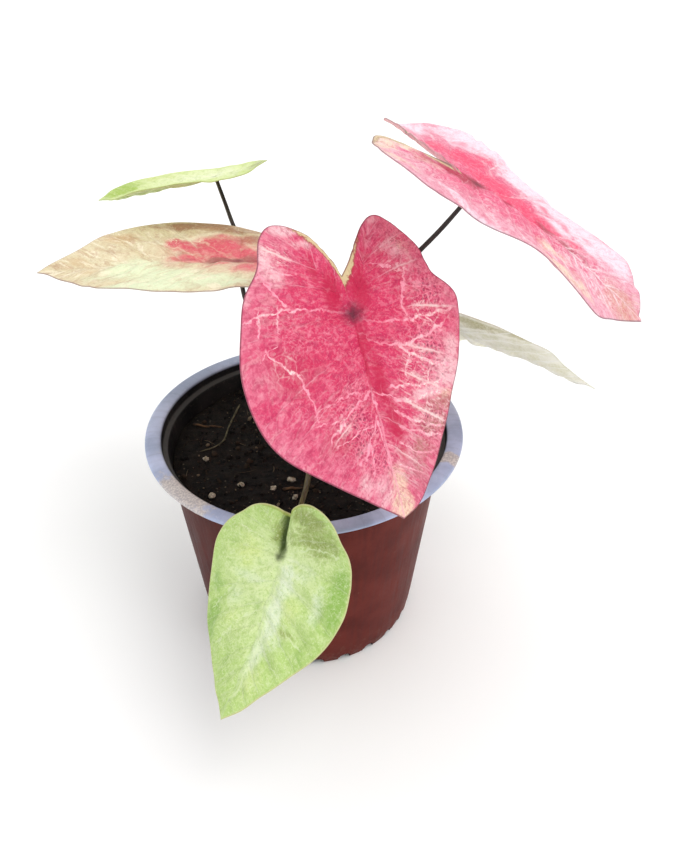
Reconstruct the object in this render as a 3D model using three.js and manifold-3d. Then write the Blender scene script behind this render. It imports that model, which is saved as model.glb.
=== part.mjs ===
// A potted caladium: six heart-shaped leaves, each on its own slender petiole,
// rise from one tuber planted in a round nursery pot.
// Units are millimetres and degrees. +Z is up, the ground is z = 0, the origin
// is the centre of the pot's base, and the plant's front faces -Y.

import * as THREE from "three";
import { mergeVertices } from "three/addons/utils/BufferGeometryUtils.js";
import Module from "manifold-3d";

const wasm = await Module();
wasm.setup();

// ---------------------------------------------------------------- dimensions

const seatGap = 0.3;

const pot = {
  height: 108,
  rimRadius: 75,
  lipWidth: 7.6,
  lipThickness: 2.8,
  bodyTopRadius: 65.6,
  shoulderRadius: 54.3,
  shoulderHeight: 12,
  footRadius: 51.7,
  wall: 1.2,
  base: 1.6,
  facets: 96,
};

const drain = { count: 24, first: 6, width: 6.2, height: 4.0, inner: 47, outer: 60 };

const soil = { level: 94, dish: 0.8, bottomClearance: 0.4, rings: 9, facets: 56 };

const crown = { x: 4, y: 8, top: 95.5, flatRadius: 10.5, bodyRadius: 17, depth: 24 };

const blade = { thickness: 1.0, facets: 40, rings: [0.3, 0.6, 0.85, 1] };

const petiole = { baseRadius: 1.6, flare: 0.3, tipRadius: 0.9, sides: 8, steps: 18 };

// Angles, from the leaf tip round to the notch between the lobes, at which each
// leaf's outline gives its distance from the junction with the petiole.
const outlineAngles = [0, 6, 14, 28, 46, 70, 90, 106, 122, 138, 152, 166, 180];

// Each leaf: where its petiole joins it, which way the tip points (heading in
// plan, pitch above level, roll about the midrib), how the midrib and the lobes
// droop, how the halves fold up along the midrib at the base, middle and tip,
// how far they curl back down, the twist towards the tip and the lobes, the margin's waves,
// the outline of the left and right halves, the petiole's foot on the crown and
// the points that the petiole passes through.
const leaves = [
  {
    name: "main_pink", colour: 0xe4587f,
    junction: [22.3, -42, 192.4], heading: -68, pitch: -48, roll: -8,
    droop: 4, lobeDroop: 20, foldBase: 9, fold: 6, foldTip: 0, curl: 10, twist: 5,
    halfWidth: 50, lobeReach: 45, wave: 1.0, waves: 6, phase: 0,
    left: [82, 79, 72, 60, 51, 49, 48, 40, 43, 45, 44, 24, 16],
    right: [82, 77, 72, 67, 64, 56, 48, 45, 42, 46, 46, 37, 16],
    foot: [7.5, 3],
    path: [[9, -3, 120], [13.5, -17, 150], [19, -32, 177]],
  },
  {
    name: "front_green", colour: 0xb7cf7c,
    junction: [-7.6, -88, 107], heading: -118, pitch: -54, roll: 10,
    droop: -14, lobeDroop: -20, foldBase: 22, fold: 6, foldTip: -12, curl: 8, twist: -12,
    halfWidth: 34, lobeReach: 30, wave: 0.6, waves: 5, phase: 40,
    left: [69, 63, 55, 47, 43, 39, 36, 37, 37, 36, 31, 25, 18],
    right: [69, 64, 60, 54, 46, 36, 31, 28, 25, 24, 23, 21, 18],
    foot: [2.5, 0.8],
    path: [[3, -13, 106], [3.5, -32, 113.5], [3.2, -52, 117.8], [0.9, -69, 118.8]],
  },
  {
    name: "upper_right_pink", colour: 0xe9709a,
    junction: [74, 9, 224], heading: -19.5, pitch: -25.5, roll: -12,
    droop: 15, lobeDroop: 0, foldBase: -2, fold: 1, foldTip: -4, curl: -3, twist: -7, lobeTwist: -4,
    halfWidth: 58, lobeReach: 50, wave: 2.4, waves: 5, phase: 230,
    left: [90, 89, 88, 82, 58, 56, 56, 67, 71, 64, 56, 36, 10],
    right: [90, 84, 79, 74, 52, 42, 48, 62, 63, 54, 50, 43, 10],
    foot: [12.5, 8],
    path: [[17, 8, 122], [27, 7.5, 155], [40, 7, 181], [60.5, 8, 205.3], [69.5, 8.8, 216.8]],
  },
  {
    name: "left_cream", colour: 0xd9cfa0,
    junction: [-27.3, 14, 187], heading: 180, pitch: 0, roll: 10,
    droop: 6, lobeDroop: 14, foldBase: 0, fold: 3, foldTip: 6, curl: 0, twist: 7,
    halfWidth: 40, lobeReach: 40, wave: 1.0, waves: 6, phase: 0,
    left: [89, 80, 71, 64, 56, 47, 44, 43, 42, 43, 43, 30, 16],
    right: [89, 82, 75, 72, 66, 52, 47, 44, 42, 42, 43, 30, 16],
    foot: [-3.5, 8.5],
    path: [[-9, 9, 120], [-18, 10, 148], [-25, 11.5, 170]],
  },
  {
    name: "upper_left_green", colour: 0xc4d873,
    junction: [-43.2, 84, 197.6], heading: 183, pitch: -8, roll: 17,
    droop: 5, lobeDroop: -18, foldBase: 2, fold: 4, foldTip: 10, curl: 3, twist: 4,
    halfWidth: 34, lobeReach: 30, wave: 0.6, waves: 4, phase: 0,
    left: [59, 56, 53, 47, 39, 34, 34, 34, 33, 32, 31, 23, 11],
    right: [59, 57, 54, 48, 40, 35, 33, 32, 31, 30, 29, 22, 11],
    foot: [2, 15.5],
    path: [[-3, 23, 120], [-14, 38, 145], [-34.1, 68, 178.6], [-38.2, 76, 186.5]],
  },
  {
    name: "lower_right_grey", colour: 0xbcc3a6,
    junction: [60.8, 48, 138.7], heading: -11, pitch: -20, roll: -40,
    droop: 0, lobeDroop: 10, foldBase: 12, fold: -8, foldTip: 15, curl: -9, twist: -8,
    halfWidth: 42, lobeReach: 40, wave: 0.8, waves: 5, phase: 0,
    left: [91, 77, 69, 65, 54, 47, 44, 43, 44, 44, 40, 30, 18],
    right: [91, 77, 69, 63, 55, 50, 43, 43, 44, 44, 40, 30, 18],
    foot: [9, 14],
    path: [[14, 18, 112], [28, 26, 126], [46, 35, 132], [56, 42, 134.5]],
  },
];

// Perlite grains on the soil: place and length, width and height.
const perlite = [
  { at: [-5.7, -23.5], size: [4.0, 3.2, 2.6], turn: 20 },
  { at: [-13.5, -30.7], size: [2.8, 2.4, 2.0], turn: 70 },
  { at: [-3.4, -36.2], size: [2.6, 2.2, 2.0], turn: 110 },
  { at: [-28.5, -28.0], size: [3.0, 2.6, 2.2], turn: 150 },
  { at: [-41.1, -34.9], size: [3.2, 2.6, 2.2], turn: 35 },
  { at: [-46.7, -7.8], size: [2.8, 2.4, 2.0], turn: 80 },
];

// Thin dry pieces that lie on the soil, as paths in plan.
const litter = [
  {
    name: "dry_root_strand", radius: 0.6, colour: 0x8f8c68,
    path: [[-34, 37], [-36.2, 28], [-38, 18], [-39.5, 7], [-43, 1], [-50, -3.5]],
  },
  {
    name: "bark_twig_near", radius: 0.9, colour: 0x6a4a30,
    path: [[-9.5, -29.6], [-5, -28.8], [0, -29.2]],
  },
  {
    name: "bark_twig_far", radius: 0.7, colour: 0x4a3626,
    path: [[-56, 19.2], [-49, 18.2], [-41.5, 17.8]],
  },
];

// ------------------------------------------------------------------- helpers

const radians = THREE.MathUtils.degToRad;

// Shared vertices are merged and triangles that shrank to a line are dropped.
function welded(geometry) {
  const bare = geometry.clone();
  bare.deleteAttribute("normal");
  bare.deleteAttribute("uv");
  const merged = mergeVertices(bare, 1e-4);
  const index = merged.getIndex().array;
  const kept = [];
  for (let i = 0; i < index.length; i += 3) {
    const [a, b, c] = [index[i], index[i + 1], index[i + 2]];
    if (a !== b && b !== c && c !== a) {
      kept.push(a, b, c);
    }
  }
  merged.setIndex(kept);
  return merged;
}

function toSolid(geometry) {
  const merged = welded(geometry);
  return new wasm.Manifold(
    new wasm.Mesh({
      numProp: 3,
      vertProperties: new Float32Array(merged.getAttribute("position").array),
      triVerts: new Uint32Array(merged.getIndex().array),
    }),
  );
}

function toGeometry(solid) {
  const mesh = solid.getMesh();
  const geometry = new THREE.BufferGeometry();
  geometry.setAttribute("position", new THREE.BufferAttribute(mesh.vertProperties, 3));
  geometry.setIndex(new THREE.BufferAttribute(mesh.triVerts, 1));
  geometry.computeVertexNormals();
  return geometry;
}

function indexed(points, triangles) {
  const geometry = new THREE.BufferGeometry();
  const numbers = points.flatMap((point) => [point.x, point.y, point.z]);
  geometry.setAttribute("position", new THREE.Float32BufferAttribute(numbers, 3));
  geometry.setIndex(triangles.flat());
  geometry.computeVertexNormals();
  return geometry;
}

// A profile of [radius, height] pairs, from the axis round to the axis, turned about Z.
function turned(profile, facets) {
  const points = profile.map(([radius, height]) => new THREE.Vector2(radius, height));
  return new THREE.LatheGeometry(points, facets).rotateX(Math.PI / 2);
}

// Closed rings of equal size joined side to side, with a fan of triangles on each end.
// The rings run from the low end to the high end, each anticlockwise seen from the high end.
function skinned(rings, lowEnd, highEnd) {
  const count = rings[0].length;
  const points = [lowEnd, ...rings.flat(), highEnd];
  const at = (ring, k) => 1 + ring * count + (k % count);
  const last = points.length - 1;
  const triangles = [];
  for (let k = 0; k < count; k += 1) {
    triangles.push([0, at(0, k + 1), at(0, k)]);
    for (let ring = 0; ring < rings.length - 1; ring += 1) {
      triangles.push([at(ring, k), at(ring, k + 1), at(ring + 1, k + 1)]);
      triangles.push([at(ring, k), at(ring + 1, k + 1), at(ring + 1, k)]);
    }
    triangles.push([last, at(rings.length - 1, k), at(rings.length - 1, k + 1)]);
  }
  return indexed(points, triangles);
}

const vector = ([x, y, z]) => new THREE.Vector3(x, y, z);

// ----------------------------------------------------------------------- pot

// One moulding: a flat base, a foot that widens to a shoulder, a straight
// tapered body, a short collar that steps out above a ledge, and a wide lip
// whose crown rolls over to a thin outer edge. The wall is even throughout.
function bodyRadius(height) {
  const rise = (height - pot.shoulderHeight) / (pot.height - 4 - pot.shoulderHeight);
  return pot.shoulderRadius + (pot.bodyTopRadius - pot.shoulderRadius) * rise;
}

function potGeometry() {
  const lipInner = pot.rimRadius - pot.lipWidth;
  const underside = pot.height - pot.lipThickness;
  const ledge = pot.height - 5;
  const outside = [
    [0, 0],
    [pot.footRadius - 1, 0],
    [pot.footRadius, 0.8],
    [(pot.footRadius + pot.shoulderRadius) / 2 + 0.5, pot.shoulderHeight / 2],
    [pot.shoulderRadius, pot.shoulderHeight],
    [bodyRadius(58), 58],
    [bodyRadius(ledge - 2.4), ledge - 2.4],
    [lipInner - 0.9, ledge - 1.6],
    [lipInner + 0.4, ledge - 1.4],
    [lipInner + 0.9, ledge - 0.6],
    [lipInner + 1.2, underside - 0.3],
    [lipInner + 1.8, underside],
    [pot.rimRadius - 1.4, underside],
  ];
  const lip = [
    [pot.rimRadius - 0.4, underside + 0.5],
    [pot.rimRadius, underside + 1.3],
    [pot.rimRadius - 0.5, underside + 2.0],
    [pot.rimRadius - 1.8, pot.height - 0.35],
    [pot.rimRadius - 3.8, pot.height],
    [lipInner + 1.6, pot.height - 0.1],
    [lipInner + 0.5, pot.height - 0.5],
    [lipInner, pot.height - 1.3],
  ];
  const inside = [
    [lipInner - 0.4, ledge],
    [bodyRadius(ledge) - 0.6, ledge - 0.4],
    [bodyRadius(ledge) - pot.wall, ledge - 1.4],
    [bodyRadius(58) - pot.wall, 58],
    [pot.shoulderRadius - pot.wall, pot.shoulderHeight],
    [pot.footRadius - pot.wall, pot.base + 2],
    [pot.footRadius - 3, pot.base],
    [0, pot.base],
  ];
  let solid = toSolid(turned([...outside, ...lip, ...inside], pot.facets));
  for (let i = 0; i < drain.count; i += 1) {
    solid = solid.subtract(toSolid(drainSlot(drain.first + (i * 360) / drain.count)));
  }
  return toGeometry(solid);
}

// An arched slot cut outwards through the corner between base and wall.
function drainSlot(angle) {
  const arch = new THREE.Shape();
  arch.moveTo(-drain.width / 2, -1);
  arch.lineTo(drain.width / 2, -1);
  arch.lineTo(drain.width / 2, drain.height * 0.35);
  arch.lineTo(drain.width * 0.33, drain.height * 0.8);
  arch.lineTo(drain.width * 0.12, drain.height);
  arch.lineTo(-drain.width * 0.12, drain.height);
  arch.lineTo(-drain.width * 0.33, drain.height * 0.8);
  arch.lineTo(-drain.width / 2, drain.height * 0.35);
  arch.closePath();
  const depth = drain.outer - drain.inner;
  return new THREE.ExtrudeGeometry(arch, { depth, bevelEnabled: false, steps: 1 })
    .rotateX(Math.PI / 2)
    .translate(0, drain.outer, 0)
    .rotateZ(radians(angle));
}

// ------------------------------------------------------------ soil and tuber

function soilHeight(x, y) {
  const swell = 0.7 * Math.sin(0.11 * x + 1.3) * Math.cos(0.09 * y - 0.4);
  const ripple = 0.5 * Math.sin(0.23 * x - 0.17 * y);
  return soil.level + soil.dish * ((x * x + y * y) / 3800) + swell + ripple;
}

// The potting mix fills the pot up to an uneven top, with a pocket for the tuber.
function soilGeometry() {
  const edge = (height) => bodyRadius(height) - pot.wall - seatGap;
  const circle = (radius, heightAt) =>
    Array.from({ length: soil.facets }, (_, k) => {
      const angle = (2 * Math.PI * k) / soil.facets;
      const [x, y] = [radius * Math.cos(angle), radius * Math.sin(angle)];
      return new THREE.Vector3(x, y, heightAt(x, y));
    });
  const floor = pot.base + soil.bottomClearance;
  const rings = [
    circle(pot.footRadius - 6, () => floor),
    circle(pot.footRadius - 3.4, () => floor + 1.6),
    circle(pot.shoulderRadius - pot.wall - seatGap - 0.1, () => pot.shoulderHeight + 0.5),
    circle(edge(58), () => 58),
  ];
  for (let ring = soil.rings; ring > 0; ring -= 1) {
    rings.push(circle((edge(soil.level - 1) * ring) / soil.rings, soilHeight));
  }
  const low = new THREE.Vector3(0, 0, floor);
  const high = new THREE.Vector3(0, 0, soilHeight(0, 0));
  const pocket = turned(tuberProfile(seatGap + 0.05, 8), 24).translate(crown.x, crown.y, 0);
  return toGeometry(toSolid(skinned(rings, low, high)).subtract(toSolid(pocket)));
}

// A squat tuber, widest below the soil, with a flat crown where the petioles
// stand. The margin makes the same shape larger, open at the top, for its pocket.
function tuberProfile(margin, headroom) {
  const bottom = crown.top - crown.depth;
  const neck = crown.flatRadius + 1.5 + margin;
  return [
    [0, bottom - margin],
    [9 + margin * 0.5, bottom + 1 - margin],
    [crown.bodyRadius - 2 + margin, bottom + 6 - margin * 0.6],
    [crown.bodyRadius + margin, bottom + 13],
    [crown.bodyRadius - 2 + margin, bottom + 18],
    [neck, crown.top - 1.6],
    ...(headroom > 0
      ? [[neck, crown.top + headroom], [0, crown.top + headroom]]
      : [[crown.flatRadius, crown.top], [0, crown.top]]),
  ];
}

function tuberGeometry() {
  return turned(tuberProfile(0, 0), 24).translate(crown.x, crown.y, 0);
}

// -------------------------------------------------------------------- leaves

// Distance from the junction to the margin at an angle: a smooth curve through
// the outline's values, sharp at the tip and rounded into the notch.
function outlineRadius(angle, values) {
  const knots = outlineAngles.map(radians);
  const last = knots.length - 1;
  const chord = (i, j) => (values[j] - values[i]) / (knots[j] - knots[i]);
  const slope = (i) => {
    if (i === 0) {
      return 1.2 * chord(0, 1);
    }
    return i === last ? 0.6 * chord(last - 1, last) : chord(i - 1, i + 1);
  };
  let i = 0;
  while (i < last - 1 && angle >= knots[i + 1]) {
    i += 1;
  }
  const span = knots[i + 1] - knots[i];
  const u = (angle - knots[i]) / span;
  const [u2, u3] = [u * u, u * u * u];
  return (
    (2 * u3 - 3 * u2 + 1) * values[i] +
    (u3 - 2 * u2 + u) * span * slope(i) +
    (3 * u2 - 2 * u3) * values[i + 1] +
    (u3 - u2) * span * slope(i + 1)
  );
}

// The leaf's own directions: along the midrib, across to its right, and up.
function leafAxes(leaf) {
  const [heading, pitch, roll] = [leaf.heading, leaf.pitch, leaf.roll].map(radians);
  const along = new THREE.Vector3(
    Math.cos(pitch) * Math.cos(heading),
    Math.cos(pitch) * Math.sin(heading),
    Math.sin(pitch),
  );
  const level = new THREE.Vector3(
    -Math.sin(pitch) * Math.cos(heading),
    -Math.sin(pitch) * Math.sin(heading),
    Math.cos(pitch),
  );
  const up = level
    .clone()
    .multiplyScalar(Math.cos(roll))
    .addScaledVector(along.clone().cross(level), Math.sin(roll));
  return { along, up, across: along.clone().cross(up) };
}

// A point halfway through the blade. The flat outline is bent three ways: the
// midrib follows an arc that droops, each half folds up from the midrib and
// curls back on an arc, and the section twists towards the tip. The margin
// also waves.
function bladePoint(leaf, axes, angle, share) {
  const turn = Math.atan2(Math.sin(angle), Math.cos(angle));
  const reach = share * outlineRadius(Math.abs(turn), turn < 0 ? leaf.left : leaf.right);
  const s = reach * Math.cos(turn);
  const t = reach * Math.sin(turn);
  const tipShare = THREE.MathUtils.clamp(s / leaf.left[0], 0, 1);
  const baseShare = THREE.MathUtils.clamp(-s / leaf.lobeReach, 0, 1);

  const bend = s >= 0 ? radians(leaf.droop) / leaf.left[0] : radians(leaf.lobeDroop) / leaf.lobeReach;
  const k = Math.abs(bend) < 1e-7 ? 1e-7 : bend;
  const forward = Math.sin(k * s) / k;
  const fall = (1 - Math.cos(k * s)) / k;

  const fold = radians(
    leaf.fold + (leaf.foldTip - leaf.fold) * tipShare + (leaf.foldBase - leaf.fold) * baseShare,
  );
  const curl = (leaf.curl === 0 ? 1e-6 : radians(leaf.curl)) / leaf.halfWidth;
  const edgeAngle = fold - curl * Math.abs(t);
  const side = (Math.sign(t) * (Math.sin(fold) - Math.sin(edgeAngle))) / curl;
  const wave = leaf.wave * share ** 3 * Math.sin(leaf.waves * turn + radians(leaf.phase));
  const lift = (Math.cos(edgeAngle) - Math.cos(fold)) / curl + wave;

  const twist = radians(leaf.twist) * tipShare - radians(leaf.lobeTwist ?? 0) * baseShare;
  const across = side * Math.cos(twist) - lift * Math.sin(twist);
  const up = side * Math.sin(twist) + lift * Math.cos(twist);
  return vector(leaf.junction)
    .addScaledVector(axes.along, forward + up * Math.sin(k * s))
    .addScaledVector(axes.up, up * Math.cos(k * s) - fall)
    .addScaledVector(axes.across, across);
}

function bladeNormal(leaf, axes, angle, share) {
  const step = 0.01;
  const out = bladePoint(leaf, axes, angle, share).sub(bladePoint(leaf, axes, angle, share - step));
  const round = bladePoint(leaf, axes, angle + step, share).sub(bladePoint(leaf, axes, angle - step, share));
  return round.cross(out).normalize();
}

// The blade is a thin closed sheet: rings under it, from the junction out to
// the margin, then rings over it, from the margin back to the junction.
function bladeGeometry(leaf) {
  const axes = leafAxes(leaf);
  const half = blade.thickness / 2;
  const ring = (share, offset) =>
    Array.from({ length: blade.facets }, (_, k) => {
      const angle = Math.PI - (2 * Math.PI * k) / blade.facets;
      return bladePoint(leaf, axes, angle, share).addScaledVector(
        bladeNormal(leaf, axes, angle, share),
        offset,
      );
    });
  const under = blade.rings.map((share) => ring(share, -half));
  const over = blade.rings.map((share) => ring(share, half)).reverse();
  const middle = vector(leaf.junction);
  return skinned(
    [...under, ...over],
    middle.clone().addScaledVector(axes.up, -half),
    middle.clone().addScaledVector(axes.up, half),
  );
}

// ------------------------------------------------------------------ petioles

// A round stalk along a curve through the points. Each end is cut on a slant,
// on the given plane through the curve's end.
function stalkGeometry(points, radiusAt, steps, lowNormal, highNormal) {
  const curve = new THREE.CatmullRomCurve3(points, false, "centripetal");
  const frames = curve.computeFrenetFrames(steps, false);
  const rings = [];
  for (let i = 0; i <= steps; i += 1) {
    const centre = curve.getPointAt(i / steps);
    const cut = i === 0 ? lowNormal : i === steps ? highNormal : null;
    const ring = [];
    for (let k = 0; k < petiole.sides; k += 1) {
      const angle = (2 * Math.PI * k) / petiole.sides;
      const offset = frames.normals[i]
        .clone()
        .multiplyScalar(Math.cos(angle))
        .addScaledVector(frames.binormals[i], Math.sin(angle))
        .multiplyScalar(radiusAt(i / steps));
      if (cut) {
        const slide = -offset.dot(cut) / frames.tangents[i].dot(cut);
        offset.addScaledVector(frames.tangents[i], slide);
      }
      ring.push(centre.clone().add(offset));
    }
    rings.push(ring);
  }
  return skinned(rings, points[0], points[points.length - 1]);
}

function petioleGeometry(leaf) {
  const axes = leafAxes(leaf);
  const foot = new THREE.Vector3(leaf.foot[0], leaf.foot[1], crown.top + seatGap);
  const above = foot.clone().add(new THREE.Vector3(0, 0, 3));
  const top = vector(leaf.junction).addScaledVector(axes.up, -(blade.thickness / 2 + seatGap));
  const points = [foot, above, ...leaf.path.map(vector), top];
  const radiusAt = (u) =>
    petiole.baseRadius +
    (petiole.tipRadius - petiole.baseRadius) * u +
    petiole.flare * Math.max(0, 1 - u / 0.08) ** 2;
  return stalkGeometry(points, radiusAt, petiole.steps, new THREE.Vector3(0, 0, 1), axes.up);
}

// ------------------------------------------------------------ loose surface

function grainGeometry(grain) {
  const [length, width, height] = grain.size;
  const lift = soilHeight(...grain.at) + height / 2 + seatGap;
  return new THREE.IcosahedronGeometry(0.5, 1)
    .rotateX(0.4)
    .scale(length, width, height)
    .rotateZ(radians(grain.turn))
    .translate(grain.at[0], grain.at[1], lift);
}

function litterGeometry(piece) {
  const points = piece.path.map(
    ([x, y]) => new THREE.Vector3(x, y, soilHeight(x, y) + piece.radius + seatGap),
  );
  const [first, second] = points;
  const [beforeLast, last] = points.slice(-2);
  return stalkGeometry(
    points,
    (u) => piece.radius * (1 - 0.3 * u),
    12,
    second.clone().sub(first).normalize(),
    last.clone().sub(beforeLast).normalize(),
  );
}

// ------------------------------------------------------------------ assembly

const caladium = new THREE.Group();

function addPiece(name, geometry, colour, roughness) {
  const clean = welded(geometry);
  clean.computeVertexNormals();
  const material = new THREE.MeshStandardMaterial({ color: colour, roughness, metalness: 0 });
  const mesh = new THREE.Mesh(clean, material);
  mesh.name = name;
  caladium.add(mesh);
}

addPiece("pot", potGeometry(), 0x6a3330, 0.45);
addPiece("soil", soilGeometry(), 0x1f1a17, 0.95);
addPiece("tuber", tuberGeometry(), 0x5b4632, 0.85);
for (const leaf of leaves) {
  addPiece(`petiole_${leaf.name}`, petioleGeometry(leaf), 0x46413b, 0.5);
  addPiece(`leaf_${leaf.name}`, bladeGeometry(leaf), leaf.colour, 0.55);
}
perlite.forEach((grain, i) => {
  addPiece(`perlite_grain_${i + 1}`, grainGeometry(grain), 0xc9c4b8, 0.9);
});
for (const piece of litter) {
  addPiece(piece.name, litterGeometry(piece), piece.colour, 0.85);
}

export default caladium;
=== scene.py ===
"""The fine surfaces and finishes of a potted caladium.

Six heart-shaped blades, their petioles, the tuber's crown, the potting mix and
the nursery pot are worked out here as whole arrays. Lengths are in millimetres
until a mesh is made. +Z is up and the plant's front faces -Y.
"""

import math
from types import SimpleNamespace

import bpy
import numpy as np
from mathutils import Matrix, Vector


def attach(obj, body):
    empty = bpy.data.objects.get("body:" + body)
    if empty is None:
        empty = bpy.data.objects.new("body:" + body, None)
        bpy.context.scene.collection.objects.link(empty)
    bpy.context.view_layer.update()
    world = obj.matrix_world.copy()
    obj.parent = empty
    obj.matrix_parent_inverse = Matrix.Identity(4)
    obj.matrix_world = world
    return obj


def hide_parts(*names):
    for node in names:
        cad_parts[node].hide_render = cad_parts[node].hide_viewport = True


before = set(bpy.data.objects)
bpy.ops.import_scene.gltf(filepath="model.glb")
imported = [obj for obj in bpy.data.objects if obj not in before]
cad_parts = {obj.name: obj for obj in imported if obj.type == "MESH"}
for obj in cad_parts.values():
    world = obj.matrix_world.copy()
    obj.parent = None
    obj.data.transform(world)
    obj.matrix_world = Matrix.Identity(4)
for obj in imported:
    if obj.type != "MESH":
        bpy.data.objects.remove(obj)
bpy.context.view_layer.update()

MM = 0.001

# ------------------------------------------------------------- the plant's sizes

POT = dict(height=108.0, rim=75.0, lip_inner=67.4, underside=105.2, body_top=65.6, shoulder=54.3,
           shoulder_height=12.0, body_height=104.0, wall=1.2, base=1.6, ledge=102.7)
SLOTS = dict(count=24, columns=13, open_columns=6, first=6.0, inner=47.0, top=4.0)
CROWN = dict(x=4.0, y=8.0, top=95.5)
SOIL_LEVEL = 94.0
SEAT = 0.3
HALF_BLADE = 0.26

# an outline is the margin's distance from the junction at each of these turns from the midrib
OUTLINE_ANGLES = np.radians([0, 6, 14, 28, 46, 70, 90, 106, 122, 138, 152, 166, 180.0])

# On a blade of this length: the turn at which a basal lobe's spine leaves the junction; the
# feet of the side veins, as distances out along the midrib, or along the spine if negative;
# the degrees by which a vein leans away from the midrib at some feet; and its bend.
VEINED_LENGTH = 82.0
SPINE_ANGLE = np.radians(152)
SPINE = np.array([np.cos(SPINE_ANGLE), np.sin(SPINE_ANGLE)])
VEIN_FEET = np.array([-90, -34, -22, -11, 0, 11, 21, 32, 43, 54, 64, 73, 130.0])
LEAN_FEET, LEANS = (-34, -14, 0, 14, 40, 75), (130, 114, 92, 69, 58, 44)
VEIN_BEND = 0.0028

MARK_KINDS = ("first", "second", "third", "fourth", "netted", "dark", "white")

LEAVES = {
    "main_pink": dict(
        junction=(22.3, -42, 192.4), heading=-68, pitch=-48, roll=-8, droop=4, lobe_droop=20,
        fold_base=9, fold=6, fold_tip=0, curl=10, twist=5, half_width=50, lobe_reach=45,
        wave=1.0, waves=6, phase=0,
        left=(82, 79, 72, 60, 51, 49, 48, 40, 43, 45, 44, 24, 16),
        right=(82, 77, 72, 67, 64, 56, 48, 45, 42, 46, 46, 37, 16),
        foot=(7.5, 3), path=((9, -3, 120), (13.5, -17, 150), (19, -32, 177))),
    "front_green": dict(
        junction=(-7.6, -88, 107), heading=-118, pitch=-54, roll=10, droop=-14, lobe_droop=-20,
        fold_base=22, fold=6, fold_tip=-12, curl=8, twist=-12, half_width=34, lobe_reach=30,
        wave=0.6, waves=5, phase=40,
        left=(69, 63, 55, 47, 43, 39, 36, 37, 37, 36, 31, 25, 18),
        right=(69, 64, 60, 54, 46, 36, 31, 28, 25, 24, 23, 21, 18),
        foot=(2.5, 0.8), path=((3, -13, 106), (3.5, -32, 113.5), (3.2, -52, 117.8), (0.9, -69, 118.8))),
    "upper_right_pink": dict(
        junction=(74, 9, 224), heading=-19.5, pitch=-25.5, roll=-12, droop=15, lobe_droop=0,
        fold_base=-2, fold=1, fold_tip=-4, curl=-3, twist=-7, lobe_twist=-4, half_width=58, lobe_reach=50,
        wave=2.4, waves=5, phase=230,
        left=(90, 89, 88, 82, 58, 56, 56, 67, 71, 64, 56, 36, 10),
        right=(90, 84, 79, 74, 52, 42, 48, 62, 63, 54, 50, 43, 10),
        foot=(12.5, 8),
        path=((17, 8, 122), (27, 7.5, 155), (40, 7, 181), (60.5, 8, 205.3), (69.5, 8.8, 216.8))),
    "left_cream": dict(
        junction=(-27.3, 14, 187), heading=180, pitch=0, roll=10, droop=6, lobe_droop=14,
        fold_base=0, fold=3, fold_tip=6, curl=0, twist=7, half_width=40, lobe_reach=40,
        wave=1.0, waves=6, phase=0,
        left=(89, 80, 71, 64, 56, 47, 44, 43, 42, 43, 43, 30, 16),
        right=(89, 82, 75, 72, 66, 52, 47, 44, 42, 42, 43, 30, 16),
        foot=(-3.5, 8.5), path=((-9, 9, 120), (-18, 10, 148), (-25, 11.5, 170))),
    "upper_left_green": dict(
        junction=(-43.2, 84, 197.6), heading=183, pitch=-8, roll=17, droop=5, lobe_droop=-18,
        fold_base=2, fold=4, fold_tip=10, curl=3, twist=4, half_width=34, lobe_reach=30,
        wave=0.6, waves=4, phase=0,
        left=(59, 56, 53, 47, 39, 34, 34, 34, 33, 32, 31, 23, 11),
        right=(59, 57, 54, 48, 40, 35, 33, 32, 31, 30, 29, 22, 11),
        foot=(2, 15.5), path=((-3, 23, 120), (-14, 38, 145), (-34.1, 68, 178.6), (-38.2, 76, 186.5))),
    "lower_right_grey": dict(
        junction=(60.8, 48, 138.7), heading=-11, pitch=-20, roll=-40, droop=0, lobe_droop=10,
        fold_base=12, fold=-8, fold_tip=15, curl=-9, twist=-8, half_width=42, lobe_reach=40,
        wave=0.8, waves=5, phase=0,
        left=(91, 77, 69, 65, 54, 47, 44, 43, 44, 44, 40, 30, 18),
        right=(91, 77, 69, 63, 55, 50, 43, 43, 44, 44, 40, 30, 18),
        foot=(9, 14), path=((14, 18, 112), (28, 26, 126), (46, 35, 132), (56, 42, 134.5))),
}

GRAINS = (
    ((-5.7, -23.5), (4.0, 3.2, 2.6), 20), ((-13.5, -30.7), (2.8, 2.4, 2.0), 70),
    ((-3.4, -36.2), (2.6, 2.2, 2.0), 110), ((-28.5, -28.0), (3.0, 2.6, 2.2), 150),
    ((-41.1, -34.9), (3.2, 2.6, 2.2), 35), ((-46.7, -7.8), (2.8, 2.4, 2.0), 80),
)
ROOT_STRAND = ((-34, 37), (-36.2, 28), (-38, 18), (-39.5, 7), (-43, 1), (-50, -3.5))
TWIG_NEAR = ((-9.5, -29.6), (-5, -28.8), (0, -29.2))
TWIG_FAR = ((-56, 19.2), (-49, 18.2), (-41.5, 17.8))


# ------------------------------------------------------------------- array tools

def smooth(value, low, high):
    """0 below low, 1 above high, and the cubic 3x^2 - 2x^3 between."""
    x = np.clip((value - low) / (high - low), 0, 1)
    return x * x * (3 - 2 * x)


def bell(distance, width):
    return np.exp(-((distance / width) ** 2))


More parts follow.
